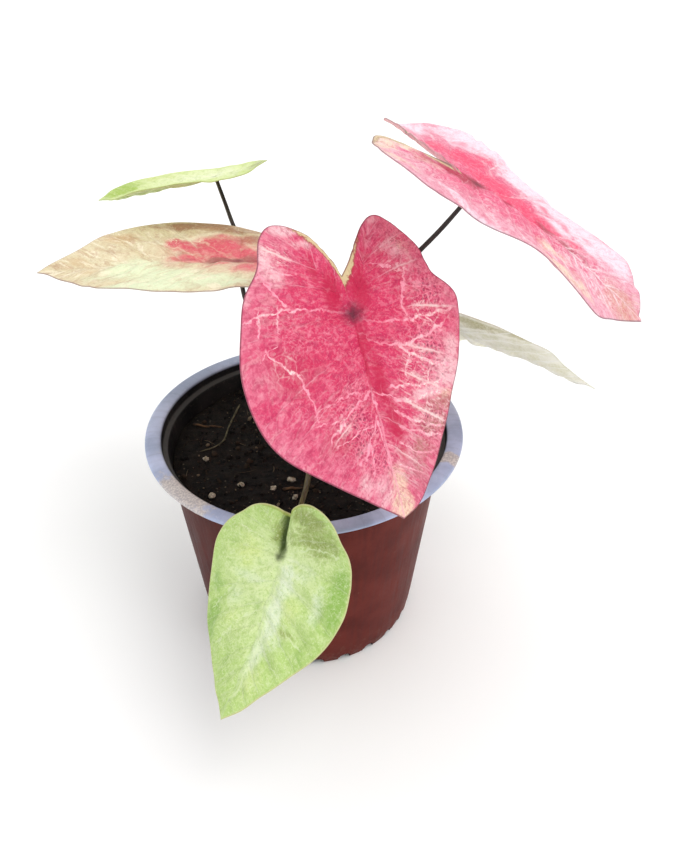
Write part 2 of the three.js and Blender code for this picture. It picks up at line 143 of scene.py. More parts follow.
def lumps(x, y, cell, seed):
    """Random heights from -1 to 1 at the corners of square cells, blended smoothly between
    corners. The table of heights repeats every 96 cells."""
    period = 96
    table = np.random.default_rng(seed).uniform(-1, 1, (period, period))
    u, v = np.asarray(x) / cell + period / 2, np.asarray(y) / cell + period / 2
    i, j = np.floor(u).astype(int), np.floor(v).astype(int)
    a, b = smooth(u - i, 0, 1), smooth(v - j, 0, 1)
    i0, i1, j0, j1 = i % period, (i + 1) % period, j % period, (j + 1) % period
    near = table[i0, j0] * (1 - a) + table[i1, j0] * a
    far = table[i0, j1] * (1 - a) + table[i1, j1] * a
    return near * (1 - b) + far * b


def unit(vectors):
    return vectors / np.linalg.norm(vectors, axis=-1, keepdims=True)


def even_angles(count):
    return 2 * np.pi * np.arange(count) / count


def hermite(u, start, start_slope, end, end_slope):
    """Cubic from start to end while u goes from 0 to 1, with these slopes at its two ends."""
    return ((2 * u**3 - 3 * u**2 + 1) * start + (u**3 - 2 * u**2 + u) * start_slope
            + (3 * u**2 - 2 * u**3) * end + (u**3 - u**2) * end_slope)


def closed_faces(rows, columns):
    """Faces for points in the order pole, rings, pole: quads between neighbouring rings, the
    last column beside the first, and a fan of triangles at each pole."""
    row, column = np.meshgrid(np.arange(rows - 1), np.arange(columns), indexing="ij")
    beside = (column + 1) % columns
    here, there = 1 + row * columns, 1 + (row + 1) * columns
    quads = np.stack([here + column, here + beside, there + beside, there + column], -1)
    a, b = 1 + column[0], 1 + beside[0]
    last_ring, low_pole = (rows - 1) * columns, np.zeros(columns, int)
    high_pole = low_pole + 1 + rows * columns
    triangles = np.concatenate([np.stack([low_pole, b, a], -1),
                                np.stack([high_pole, a + last_ring, b + last_ring], -1)])
    return quads.reshape(-1, 4), triangles


def closed_rings(rings):
    """Points and faces of rings, low end first, each anticlockwise seen from the high end. The
    poles are the end rings' middles."""
    points = np.concatenate([rings[:1].mean(1), rings.reshape(-1, 3), rings[-1:].mean(1)])
    return points, *closed_faces(*rings.shape[:2])


def copies(faces, count, size):
    """One body's faces, repeated for count bodies of size points each."""
    return (faces[None] + (np.arange(count) * size)[:, None, None]).reshape(-1, faces.shape[1])


def make_piece(name, points, quads, triangles, material, attributes=None):
    """One smooth mesh object from arrays: points in millimetres, faces as corner numbers."""
    quads = np.asarray(quads, int).reshape(-1, 4)
    triangles = np.asarray(triangles, int).reshape(-1, 3)
    mesh = bpy.data.meshes.new(name)
    mesh.vertices.add(len(points))
    mesh.vertices.foreach_set("co", (np.asarray(points, float) * MM).ravel())
    corners = np.concatenate([quads.ravel(), triangles.ravel()])
    starts = np.concatenate([
        np.arange(len(quads)) * 4,
        len(quads) * 4 + np.arange(len(triangles)) * 3,
    ])
    mesh.loops.add(len(corners))
    mesh.loops.foreach_set("vertex_index", corners.astype(np.int32))
    mesh.polygons.add(len(starts))
    mesh.polygons.foreach_set("loop_start", starts.astype(np.int32))
    mesh.update(calc_edges=True)
    mesh.polygons.foreach_set("use_smooth", np.ones(len(starts), bool))
    for label, values in (attributes or {}).items():
        layer = mesh.attributes.new(label, "FLOAT_VECTOR", "POINT")
        layer.data.foreach_set("vector", np.asarray(values, np.float32).ravel())
    mesh.validate()
    mesh.materials.append(material)
    piece = bpy.data.objects.new(name, mesh)
    bpy.context.scene.collection.objects.link(piece)
    return piece


# ---------------------------------------------------------------------- finishes

def rgb(red, green, blue):
    """A display colour from 0 to 255 as scene-linear light."""
    share = np.array([red, green, blue]) / 255
    linear = np.where(share <= 0.04045, share / 12.92, ((share + 0.055) / 1.055) ** 2.4)
    return (*[float(v) for v in linear], 1.0)


class Finish:
    """A procedural material. Most methods add nodes and give back their output. The
    colour is built up in coats. Colours are given as display values from 0 to 255, and
    lengths in millimetres."""

    def __init__(self, name, roughness=0.5, specular=0.5):
        self.material = bpy.data.materials.new(name)
        self.material.use_nodes = True
        self.tree = self.material.node_tree
        self.shader = self.tree.nodes["Principled BSDF"]
        self.shader.inputs["Roughness"].default_value = roughness
        self.shader.inputs["Specular IOR Level"].default_value = specular
        self.colour = None

    def feed(self, socket, value):
        """Link an output to a socket, or set the socket to a value or a display colour."""
        if isinstance(value, bpy.types.NodeSocket):
            self.tree.links.new(value, socket)
        else:
            socket.default_value = rgb(*value) if socket.type == "RGBA" else value

    def node(self, kind, values=(), **settings):
        """A node with its settings, and with values for its first inputs."""
        node = self.tree.nodes.new(kind)
        for key, value in settings.items():
            setattr(node, key, value)
        for socket, value in zip(node.inputs, values):
            self.feed(socket, value)
        return node

    def math(self, operation, *values):
        return self.node("ShaderNodeMath", values, operation=operation).outputs[0]

    def in_turn(self, operation, values):
        result = values[0]
        for value in values[1:]:
            result = self.math(operation, result, value)
        return result

    def add(self, *values):
        return self.in_turn("ADD", values)

    def times(self, *values):
        return self.in_turn("MULTIPLY", values)

    def most(self, *values):
        return self.in_turn("MAXIMUM", values)

    def away(self, value):
        """How far a value is from 0."""
        return self.math("ABSOLUTE", value)

    def sway(self, value, noise, amount):
        """A value moved up and down by noise, by nothing where the noise is 0.5."""
        return self.add(value, self.times(self.add(noise, -0.5), amount))

    def step(self, value, low, high, start=0.0, end=1.0):
        """Smooth step of a value from start to end."""
        values = (value, low, high, start, end)
        return self.node("ShaderNodeMapRange", values, interpolation_type="SMOOTHSTEP").outputs[0]

    def fall(self, value, low, high):
        """1 below low and 0 above high."""
        return self.step(value, low, high, 1.0, 0.0)

    def attribute(self, name):
        return self.node("ShaderNodeAttribute", attribute_name=name).outputs["Vector"]

    def split(self, vector):
        return self.node("ShaderNodeSeparateXYZ", [vector]).outputs

    def join(self, x, y, z=0.0):
        return self.node("ShaderNodeCombineXYZ", (x, y, z)).outputs[0]

    def object_mm(self):
        """Object coordinates in millimetres."""
        place = self.node("ShaderNodeTexCoord").outputs["Object"]
        scaled = self.node("ShaderNodeVectorMath", [place], operation="SCALE")
        scaled.inputs["Scale"].default_value = 1 / MM
        return scaled.outputs[0]

    def stalk_mm(self, squeeze):
        """A stalk's own coordinates with its length squeezed, so that noise becomes streaks."""
        x, along, z = self.split(self.attribute("stalk"))
        return self.join(x, self.times(along, squeeze), z)

    def noise(self, vector, size, detail=3.0, roughness=0.55, distortion=0.0):
        """Cloudy noise with features of about the given size."""
        node = self.node("ShaderNodeTexNoise", [vector])
        for label, value in (("Scale", 1.0 / size), ("Detail", detail), ("Roughness", roughness),
                             ("Distortion", distortion)):
            node.inputs[label].default_value = value
        return node.outputs[0]

    def cells(self, vector, size, feature="DISTANCE_TO_EDGE"):
        node = self.node("ShaderNodeTexVoronoi", [vector], feature=feature)
        node.inputs["Scale"].default_value = 1.0 / size
        return node.outputs["Distance"]

    def shift(self, vector, amount, size):
        """A vector pushed about by noise, so that straight edges wander."""
        push = self.node("ShaderNodeTexNoise", [vector])
        push.inputs["Scale"].default_value = 1.0 / size
        values = (push.outputs["Color"], (2 * amount,) * 3, (-amount,) * 3)
        centred = self.node("ShaderNodeVectorMath", values, operation="MULTIPLY_ADD")
        return self.node("ShaderNodeVectorMath", (vector, centred.outputs[0]), operation="ADD").outputs[0]

    def dot(self, vector, x, y):
        """The vector's run along a flat direction."""
        node = self.node("ShaderNodeVectorMath", (vector, (x, y, 0.0)), operation="DOT_PRODUCT")
        return node.outputs["Value"]

    def vein(self, flat, wobble, thin, start_s, start_t, end_s, end_t, bend, width):
        """1 on a vein drawn as a parabola from start to end, 0 beyond its wandering width."""
        length = math.hypot(end_s - start_s, end_t - start_t)
        run_s, run_t = (end_s - start_s) / length, (end_t - start_t) / length
        x = self.math("MULTIPLY_ADD", self.dot(flat, run_s, run_t), 1 / length,
                      -(start_s * run_s + start_t * run_t) / length)
        hump = self.math("MULTIPLY_ADD", self.times(x, x), 4 * bend, self.times(x, -4 * bend))
        off = self.add(self.dot(flat, -run_t, run_s), start_s * run_t - start_t * run_s)
        off = self.away(self.add(off, hump, wobble))
        return self.times(self.fall(self.add(off, thin), 0.25 * width, width),
                          self.fall(self.away(self.add(x, -0.5)), 0.48, 0.56))

    def mix(self, factor, first, second):
        node = self.node("ShaderNodeMix", data_type="RGBA")
        for place, value in ((0, factor), (6, first), (7, second)):
            self.feed(node.inputs[place], value)
        return node.outputs[2]

    def coat(self, colour, *factors):
        """Lay a colour over the coats so far, as strongly as the product of the factors."""
        self.colour = self.mix(self.times(*factors), self.colour, colour)

    def ramp(self, value, stops):
        """Colours at places from 0 to 1, blended between."""
        node = self.node("ShaderNodeValToRGB", [value])
        while len(node.color_ramp.elements) < len(stops):
            node.color_ramp.elements.new(0.5)
        for element, (place, colour) in zip(node.color_ramp.elements, stops):
            element.position = place
            element.color = rgb(*colour)
        return node.outputs[0]

    def paint(self, roughness=None, height=None, depth=0.0):
        """Give the shader its colour, roughness, and a bump whose height of 1 stands depth proud."""
        self.feed(self.shader.inputs["Base Color"], self.colour)
        if roughness is not None:
            self.feed(self.shader.inputs["Roughness"], roughness)
        if height is not None:
            bump = self.node("ShaderNodeBump")
            bump.inputs["Strength"].default_value = 1.0
            bump.inputs["Distance"].default_value = depth * MM
            self.feed(bump.inputs["Height"], height)
            self.feed(self.shader.inputs["Normal"], bump.outputs[0])
        return self.material


# ----------------------------------------------------------------- blade surface

def outline_radius(angle, values):
    """Cubic Hermite curve through an outline's distances, whose slope at each inner
    value is that of the chord between its neighbours."""
    values, knots = np.asarray(values, float), OUTLINE_ANGLES
    slopes = np.zeros(len(values))
    slopes[1:-1] = (values[2:] - values[:-2]) / (knots[2:] - knots[:-2])
    slopes[0] = 1.2 * (values[1] - values[0]) / (knots[1] - knots[0])
    slopes[-1] = 0.6 * (values[-1] - values[-2]) / (knots[-1] - knots[-2])
    i = np.clip(np.searchsorted(knots, angle, side="right") - 1, 0, len(values) - 2)
    span = knots[i + 1] - knots[i]
    u = (angle - knots[i]) / span
    return hermite(u, values[i], span * slopes[i], values[i + 1], span * slopes[i + 1])


def blade_outline(leaf, angle):
    """Turn from the midrib between -pi and pi, negative to the leaf's left, and the margin's
    distance from the junction there."""
    turn = np.arctan2(np.sin(angle), np.cos(angle))
    return turn, np.where(turn < 0, outline_radius(np.abs(turn), leaf["left"]),
                          outline_radius(np.abs(turn), leaf["right"]))


def leaf_axes(leaf):
    """The midrib's direction, the upper face's direction and the way to the leaf's right."""
    heading, pitch, roll = np.radians([leaf["heading"], leaf["pitch"], leaf["roll"]])
    along = np.array([np.cos(pitch) * np.cos(heading), np.cos(pitch) * np.sin(heading), np.sin(pitch)])
    level = np.array([-np.sin(pitch) * np.cos(heading), -np.sin(pitch) * np.sin(heading), np.cos(pitch)])
    up = np.cos(roll) * level + np.sin(roll) * np.cross(along, level)
    return along, up, np.cross(along, up)


def blade_point(leaf, angle, share):
    """A point halfway through the blade. The flat outline is bent three ways: the midrib
    follows an arc that droops, each half folds up from the midrib and curls back on an
    arc, and the section twists towards the tip. The margin also waves."""
    turn, radius = blade_outline(leaf, angle)
    along, up, across = leaf_axes(leaf)
    s, t = share * radius * np.cos(turn), share * radius * np.sin(turn)
    length, reach = leaf["left"][0], leaf["lobe_reach"]
    tip_share, base_share = np.clip(s / length, 0, 1), np.clip(-s / reach, 0, 1)
    k = np.where(s >= 0, np.radians(leaf["droop"]) / length, np.radians(leaf["lobe_droop"]) / reach)
    k = np.where(np.abs(k) < 1e-7, 1e-7, k)
    forward, fall = np.sin(k * s) / k, (1 - np.cos(k * s)) / k
    fold = np.radians(leaf["fold"] + (leaf["fold_tip"] - leaf["fold"]) * tip_share
                      + (leaf["fold_base"] - leaf["fold"]) * base_share)
    curl = (np.radians(leaf["curl"]) if leaf["curl"] else 1e-6) / leaf["half_width"]
    edge = fold - curl * np.abs(t)
    side = np.sign(t) * (np.sin(fold) - np.sin(edge)) / curl
    lift = ((np.cos(edge) - np.cos(fold)) / curl
            + leaf["wave"] * share**3 * np.sin(leaf["waves"] * turn + np.radians(leaf["phase"])))
    twist = np.radians(leaf["twist"]) * tip_share - np.radians(leaf.get("lobe_twist", 0)) * base_share
    sideways = side * np.cos(twist) - lift * np.sin(twist)
    upwards = side * np.sin(twist) + lift * np.cos(twist)
    return (np.array(leaf["junction"], float)
            + (forward + upwards * np.sin(k * s))[..., None] * along
            + (upwards * np.cos(k * s) - fall)[..., None] * up
            + sideways[..., None] * across)


def blade_normal(leaf, angle, share):
    """Cross product of the steps round and out."""
    step = 0.01
    out = blade_point(leaf, angle, share) - blade_point(leaf, angle, share - step)
    around = blade_point(leaf, angle + step, share) - blade_point(leaf, angle - step, share)
    return unit(np.cross(around, out))


def side_vein(s, t, length):
    """Which side vein passes through a flat point, as a number that is whole on a vein,
    and how far along it the point lies. A vein leaves the midrib, or the spine of a
    basal lobe, at an angle that opens from 44 degrees near the tip to 130 in the lobe,
    and bends towards the tip as a parabola. The foot is found by halving an interval."""
    scale = VEINED_LENGTH / length
    s, a = s * scale, np.abs(t) * scale
    angle, r = np.arctan2(a, s), np.hypot(s, a)
    angle = np.where(angle > SPINE_ANGLE, 2 * SPINE_ANGLE - angle, angle)
    s, a = r * np.cos(angle), r * np.sin(angle)
    low, high = np.full(s.shape, -80.0), np.full(s.shape, 125.0)
    for _ in range(30):
        foot = (low + high) / 2
        foot_s = np.where(foot > 0, foot, -foot * SPINE[0])
        foot_a = np.where(foot > 0, 0, -foot * SPINE[1])
        lean = np.radians(np.interp(foot, LEAN_FEET, LEANS))
        reach = (s - foot_s) * np.cos(lean) + (a - foot_a) * np.sin(lean)
        cross = (s - foot_s) * np.sin(lean) - (a - foot_a) * np.cos(lean)
        tipwards = cross - VEIN_BEND * np.clip(reach, 0, None) ** 2 > 0
        low, high = np.where(tipwards, foot, low), np.where(tipwards, high, foot)
    # neighbouring feet on the two halves are staggered along the midrib
    shifted = foot + np.where(t < 0, 2.2, -1.6) * smooth(foot, 2, 16)
    return np.interp(shifted, VEIN_FEET, np.arange(len(VEIN_FEET)) - 4.0), reach / scale


def vein_fields(leaf, s, t):
    """Side-vein number, millimetres between side veins, distance along the vein, and
    signed distance from the lobe's spine."""
    length, step = leaf["left"][0], 0.4
    number, reach = side_vein(s, t, length)
    slope_s = (side_vein(s + step, t, length)[0] - side_vein(s - step, t, length)[0]) / (2 * step)
    side = np.where(t < 0, -1.0, 1.0)
    outwards = side_vein(s, side * (np.abs(t) + 2 * step), length)[0]
    slope_t = (outwards - number) / (2 * step)
    gap = 1 / np.clip(np.hypot(slope_s, slope_t), 0.03, 2)
    return number, gap, reach, s * SPINE[1] - np.abs(t) * SPINE[0]


def drawn_vein(s, t, start_s, start_t, end_s, end_t, bend, width):
    """Nearness to one vein, 1 on it and falling off as a bell: a parabola from start to end
    that stands bend millimetres off the straight line halfway."""
    length = math.hypot(end_s - start_s, end_t - start_t)
    run_s, run_t = (end_s - start_s) / length, (end_t - start_t) / length
    x = ((s - start_s) * run_s + (t - start_t) * run_t) / length
    off = (t - start_t) * run_s - (s - start_s) * run_t - 4 * bend * x * (1 - x)
    return bell(off, width + 0.5) * (1 - smooth(np.abs(x - 0.5), 0.45, 0.55))


def blade_relief(leaf, look, seed, turn, radius, share, s, t, edge_mm, fields):
    """Heights over the blade's middle, the depth of its veins and the crease, as arrays.
    Grooves follow the veins, the tissue swells between them, the margin is ruffled, and a
    crease runs from the junction to the bottom of the notch between two puffed lobes."""
    number, gap, reach, spine = fields
    side_mm = np.abs(number - np.round(number)) * gap
    off_spine = np.hypot(spine, np.clip(-(s * SPINE[0] + np.abs(t) * SPINE[1]), 0, None) * 3)
    off_midrib = np.hypot(t, np.clip(-s, 0, None) * 3)
    inside = smooth(edge_mm, 0.5, 9)
    side_groove = bell(side_mm, 1.3) * inside * smooth(reach, 0, 3)
    spine_groove = bell(off_spine, 1.5) * inside
    midrib_groove = bell(off_midrib, 1.5) * smooth(edge_mm, 0.5, 16)
    veins = np.maximum(np.maximum(0.65 * side_groove, 0.8 * spine_groove), midrib_groove)
    valley = np.zeros(s.shape)
    for vein in look["lines"]:
        veins = np.maximum(veins, 0.8 * drawn_vein(s, t, *vein) * smooth(edge_mm, 0.5, 4))
        valley = np.maximum(valley, drawn_vein(s, t, *vein[:5], 2.2 * vein[5] + 1.4))
    puff = look["puff"]
    swell = (0.42 * puff * smooth(side_mm, 0.4, 4.5) * inside
             + 0.3 * puff * lumps(s, t, 7.0, seed) * inside + 0.13 * lumps(s, t, 3.1, seed + 40) * inside
             + 0.4 * puff * lumps(s, t, 17.0, seed + 80) - 0.4 * puff * valley * inside)
    ruffle = look["ruffle"] * share**6 * lumps(radius * turn, 0 * turn, 5.5, seed + 120)
    ruffle = ruffle * (1 - (1 - look["near_ruffle"]) * smooth(t, -8, 8))
    notch_depth = leaf["left"][-1]
    to_notch = smooth(-s, 0.5, 4) * (1 - smooth(-s, notch_depth + 1, notch_depth + 6))
    crease = bell(t, 1.5) * to_notch
    cheeks = bell(np.abs(t) - 6.5, 4.0) * smooth(-s, 1, 8) * inside
    relief = swell + ruffle - 0.5 * veins + look["crease"] * (0.5 * cheeks - crease)
    near_junction = smooth(np.hypot(s, t), 1.5, 7)
    return relief * near_junction, veins * smooth(edge_mm, 1, 8) * near_junction, crease


def build_blade(name, leaf, look, material):
    """A thin closed sheet on a polar grid: rings under the blade from the junction to the
    margin, then rings over it back to the junction. Each point stands off the bent
    middle surface by the relief and half the thickness, which rounds off at the margin.
    The veins stand out below."""
    columns = 352
    inner = np.linspace(0.03, 0.975, 60) ** 0.9
    shares = np.concatenate([inner, [0.985, 0.993, 0.998, 1.0]])
    angle, share = np.meshgrid(even_angles(columns) - np.pi, shares)
    turn, radius = blade_outline(leaf, angle)
    s, t = share * radius * np.cos(turn), share * radius * np.sin(turn)
    number, gap, reach, spine = fields = vein_fields(leaf, s, t)
    # the outline's slope turns the distance along a ray into the distance to the margin
    slope = (np.roll(radius[-1], -1) - np.roll(radius[-1], 1)) * columns / (4 * np.pi)
    lean = 1 / np.hypot(1, slope / radius[-1])
    edge_mm = (1 - share) * radius * (1 + (lean - 1) * share)
    seed = 11 + sorted(LEAVES).index(name)
    relief, veins, crease = blade_relief(leaf, look, seed, turn, radius, share, s, t, edge_mm, fields)
    thick = HALF_BLADE * np.sqrt(np.clip(1 - (1 - np.clip(edge_mm / 0.5, 0, 1)) ** 2, 0.06, 1))
    middle, normal = blade_point(leaf, angle, share), blade_normal(leaf, angle, share)
    over = middle + normal * (thick + relief)[..., None]
    under = middle + normal * (relief - thick - 0.42 * veins)[..., None]
    points, quads, triangles = closed_rings(np.concatenate([under, over[::-1]]))

    def layer(x, y, below, above=None):
        """Three values a point, in the order of the points. The third may differ above."""
        above = below if above is None else above
        low, high = (np.stack(np.broadcast_arrays(x, y, z), -1) for z in (below, above))
        return closed_rings(np.concatenate([low, high[::-1]]))[0]

    marks = {kind: np.zeros(s.shape) for kind in MARK_KINDS}
    for kind, places in look["marks"].items():
        for centre_s, centre_t, size_s, size_t, strength in places:
            far = ((s - centre_s) / size_s) ** 2 + ((t - centre_t) / size_t) ** 2
            marks[kind] = np.maximum(marks[kind], strength * np.exp(-far))
    notch = smooth(np.abs(turn), *np.radians(look["notch_from"]))
    notch = notch * (1 - smooth(edge_mm, 0.5, look["notch_width"]))
    # the grid runs clockwise seen from above, so every face is turned
    piece = make_piece("blade_" + name, points, quads[:, ::-1], triangles[:, ::-1], material, {
        "place": layer(s, t, 0.0, 1.0),
        "veins": layer(number, gap, reach),
        "rim": layer(edge_mm, share, spine),
        "tints": layer(marks["first"], marks["second"], marks["third"]),
        "zones": layer(marks["netted"], marks["dark"], marks["white"]),
        "marks": layer(notch, marks["fourth"], crease),
    })
    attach(piece, "root")
    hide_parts("leaf_" + name)
    return piece


# ----------------------------------------------------------------- leaf finishes

# How each leaf looks, where it isn't the common look. Colours are display values from 0 to
# 255, lengths are millimetres, and each amount runs from 0 to 1.
# Shape: puff is the height of the swellings between veins, ruffle that of the waves in the
# margin, near_ruffle what is left of them on the leaf's right, crease the depth of the
# furrow to the notch and how strongly painted shade darkens it. notch_from gives the two
# turns from the midrib, in degrees, between which the notch's border comes in, and
# notch_width how wide that border is.
# Ground: deep, mid and pale from the junction to the margin, between the shares in spread.
# Patches: the four tints, with edges as torn as ragged says. veil is how much of the
# second and third shows through what lies over them.
# Grain: strokes in the colour fleck along the side veins, wide as stroke_size says; dark
# cells in a pale net; blots, ripples and speckle of both colours; spots in some cells; and
# fleck_amount of flecks among the white veins.
# Veins: vein is their colour, white their colour where a mark whitens them, vein_from
# the shares of the way out between which they appear, twigs the amount of small veins
# between them, and line_amount how plain the lines are.
# Others: core darkens the middle, partly as the leaf's own colour and partly as painted
# shade in folds and the crease, heart lies at the junction out to heart_reach, edge is
# the margin, notch the border's two colours, under the underside's ground, veins and
# clouds, brightened on two leaves as painted light, and glow the share of light that
# passes through the leaf.
# Marks are (place along the midrib, place across it, reach along, reach across, strength).
# The first four kinds lay the four tints, netted makes the net and its dark cells plain,
# dark brings out the core colour, as the leaf's own dark bands and as painted shade in
# folds, and white turns the veins white.
# Lines are the veins that stand out: (start along the midrib, start across it, end along,
# end across, how far the middle bends off the straight, half width).
COMMON_LOOK = dict(puff=1.4, ruffle=0.3, near_ruffle=1.0, crease=0.5, notch_from=(138, 160),
                   notch_width=2.0, ragged=1.0, stroke_size=2.1, blots=0.3, glow=0, veil=0,
                   spread=(0.1, 1.0), cell_amount=0.35, net_amount=0.3, speckle=0.3, ripple=0.25, spots=0.1,
                   twigs=0.35, vein_amount=0.6, vein_from=(0.0, 0.2), fleck_amount=0.6, strokes=0.2,
                   heart_reach=3.0)
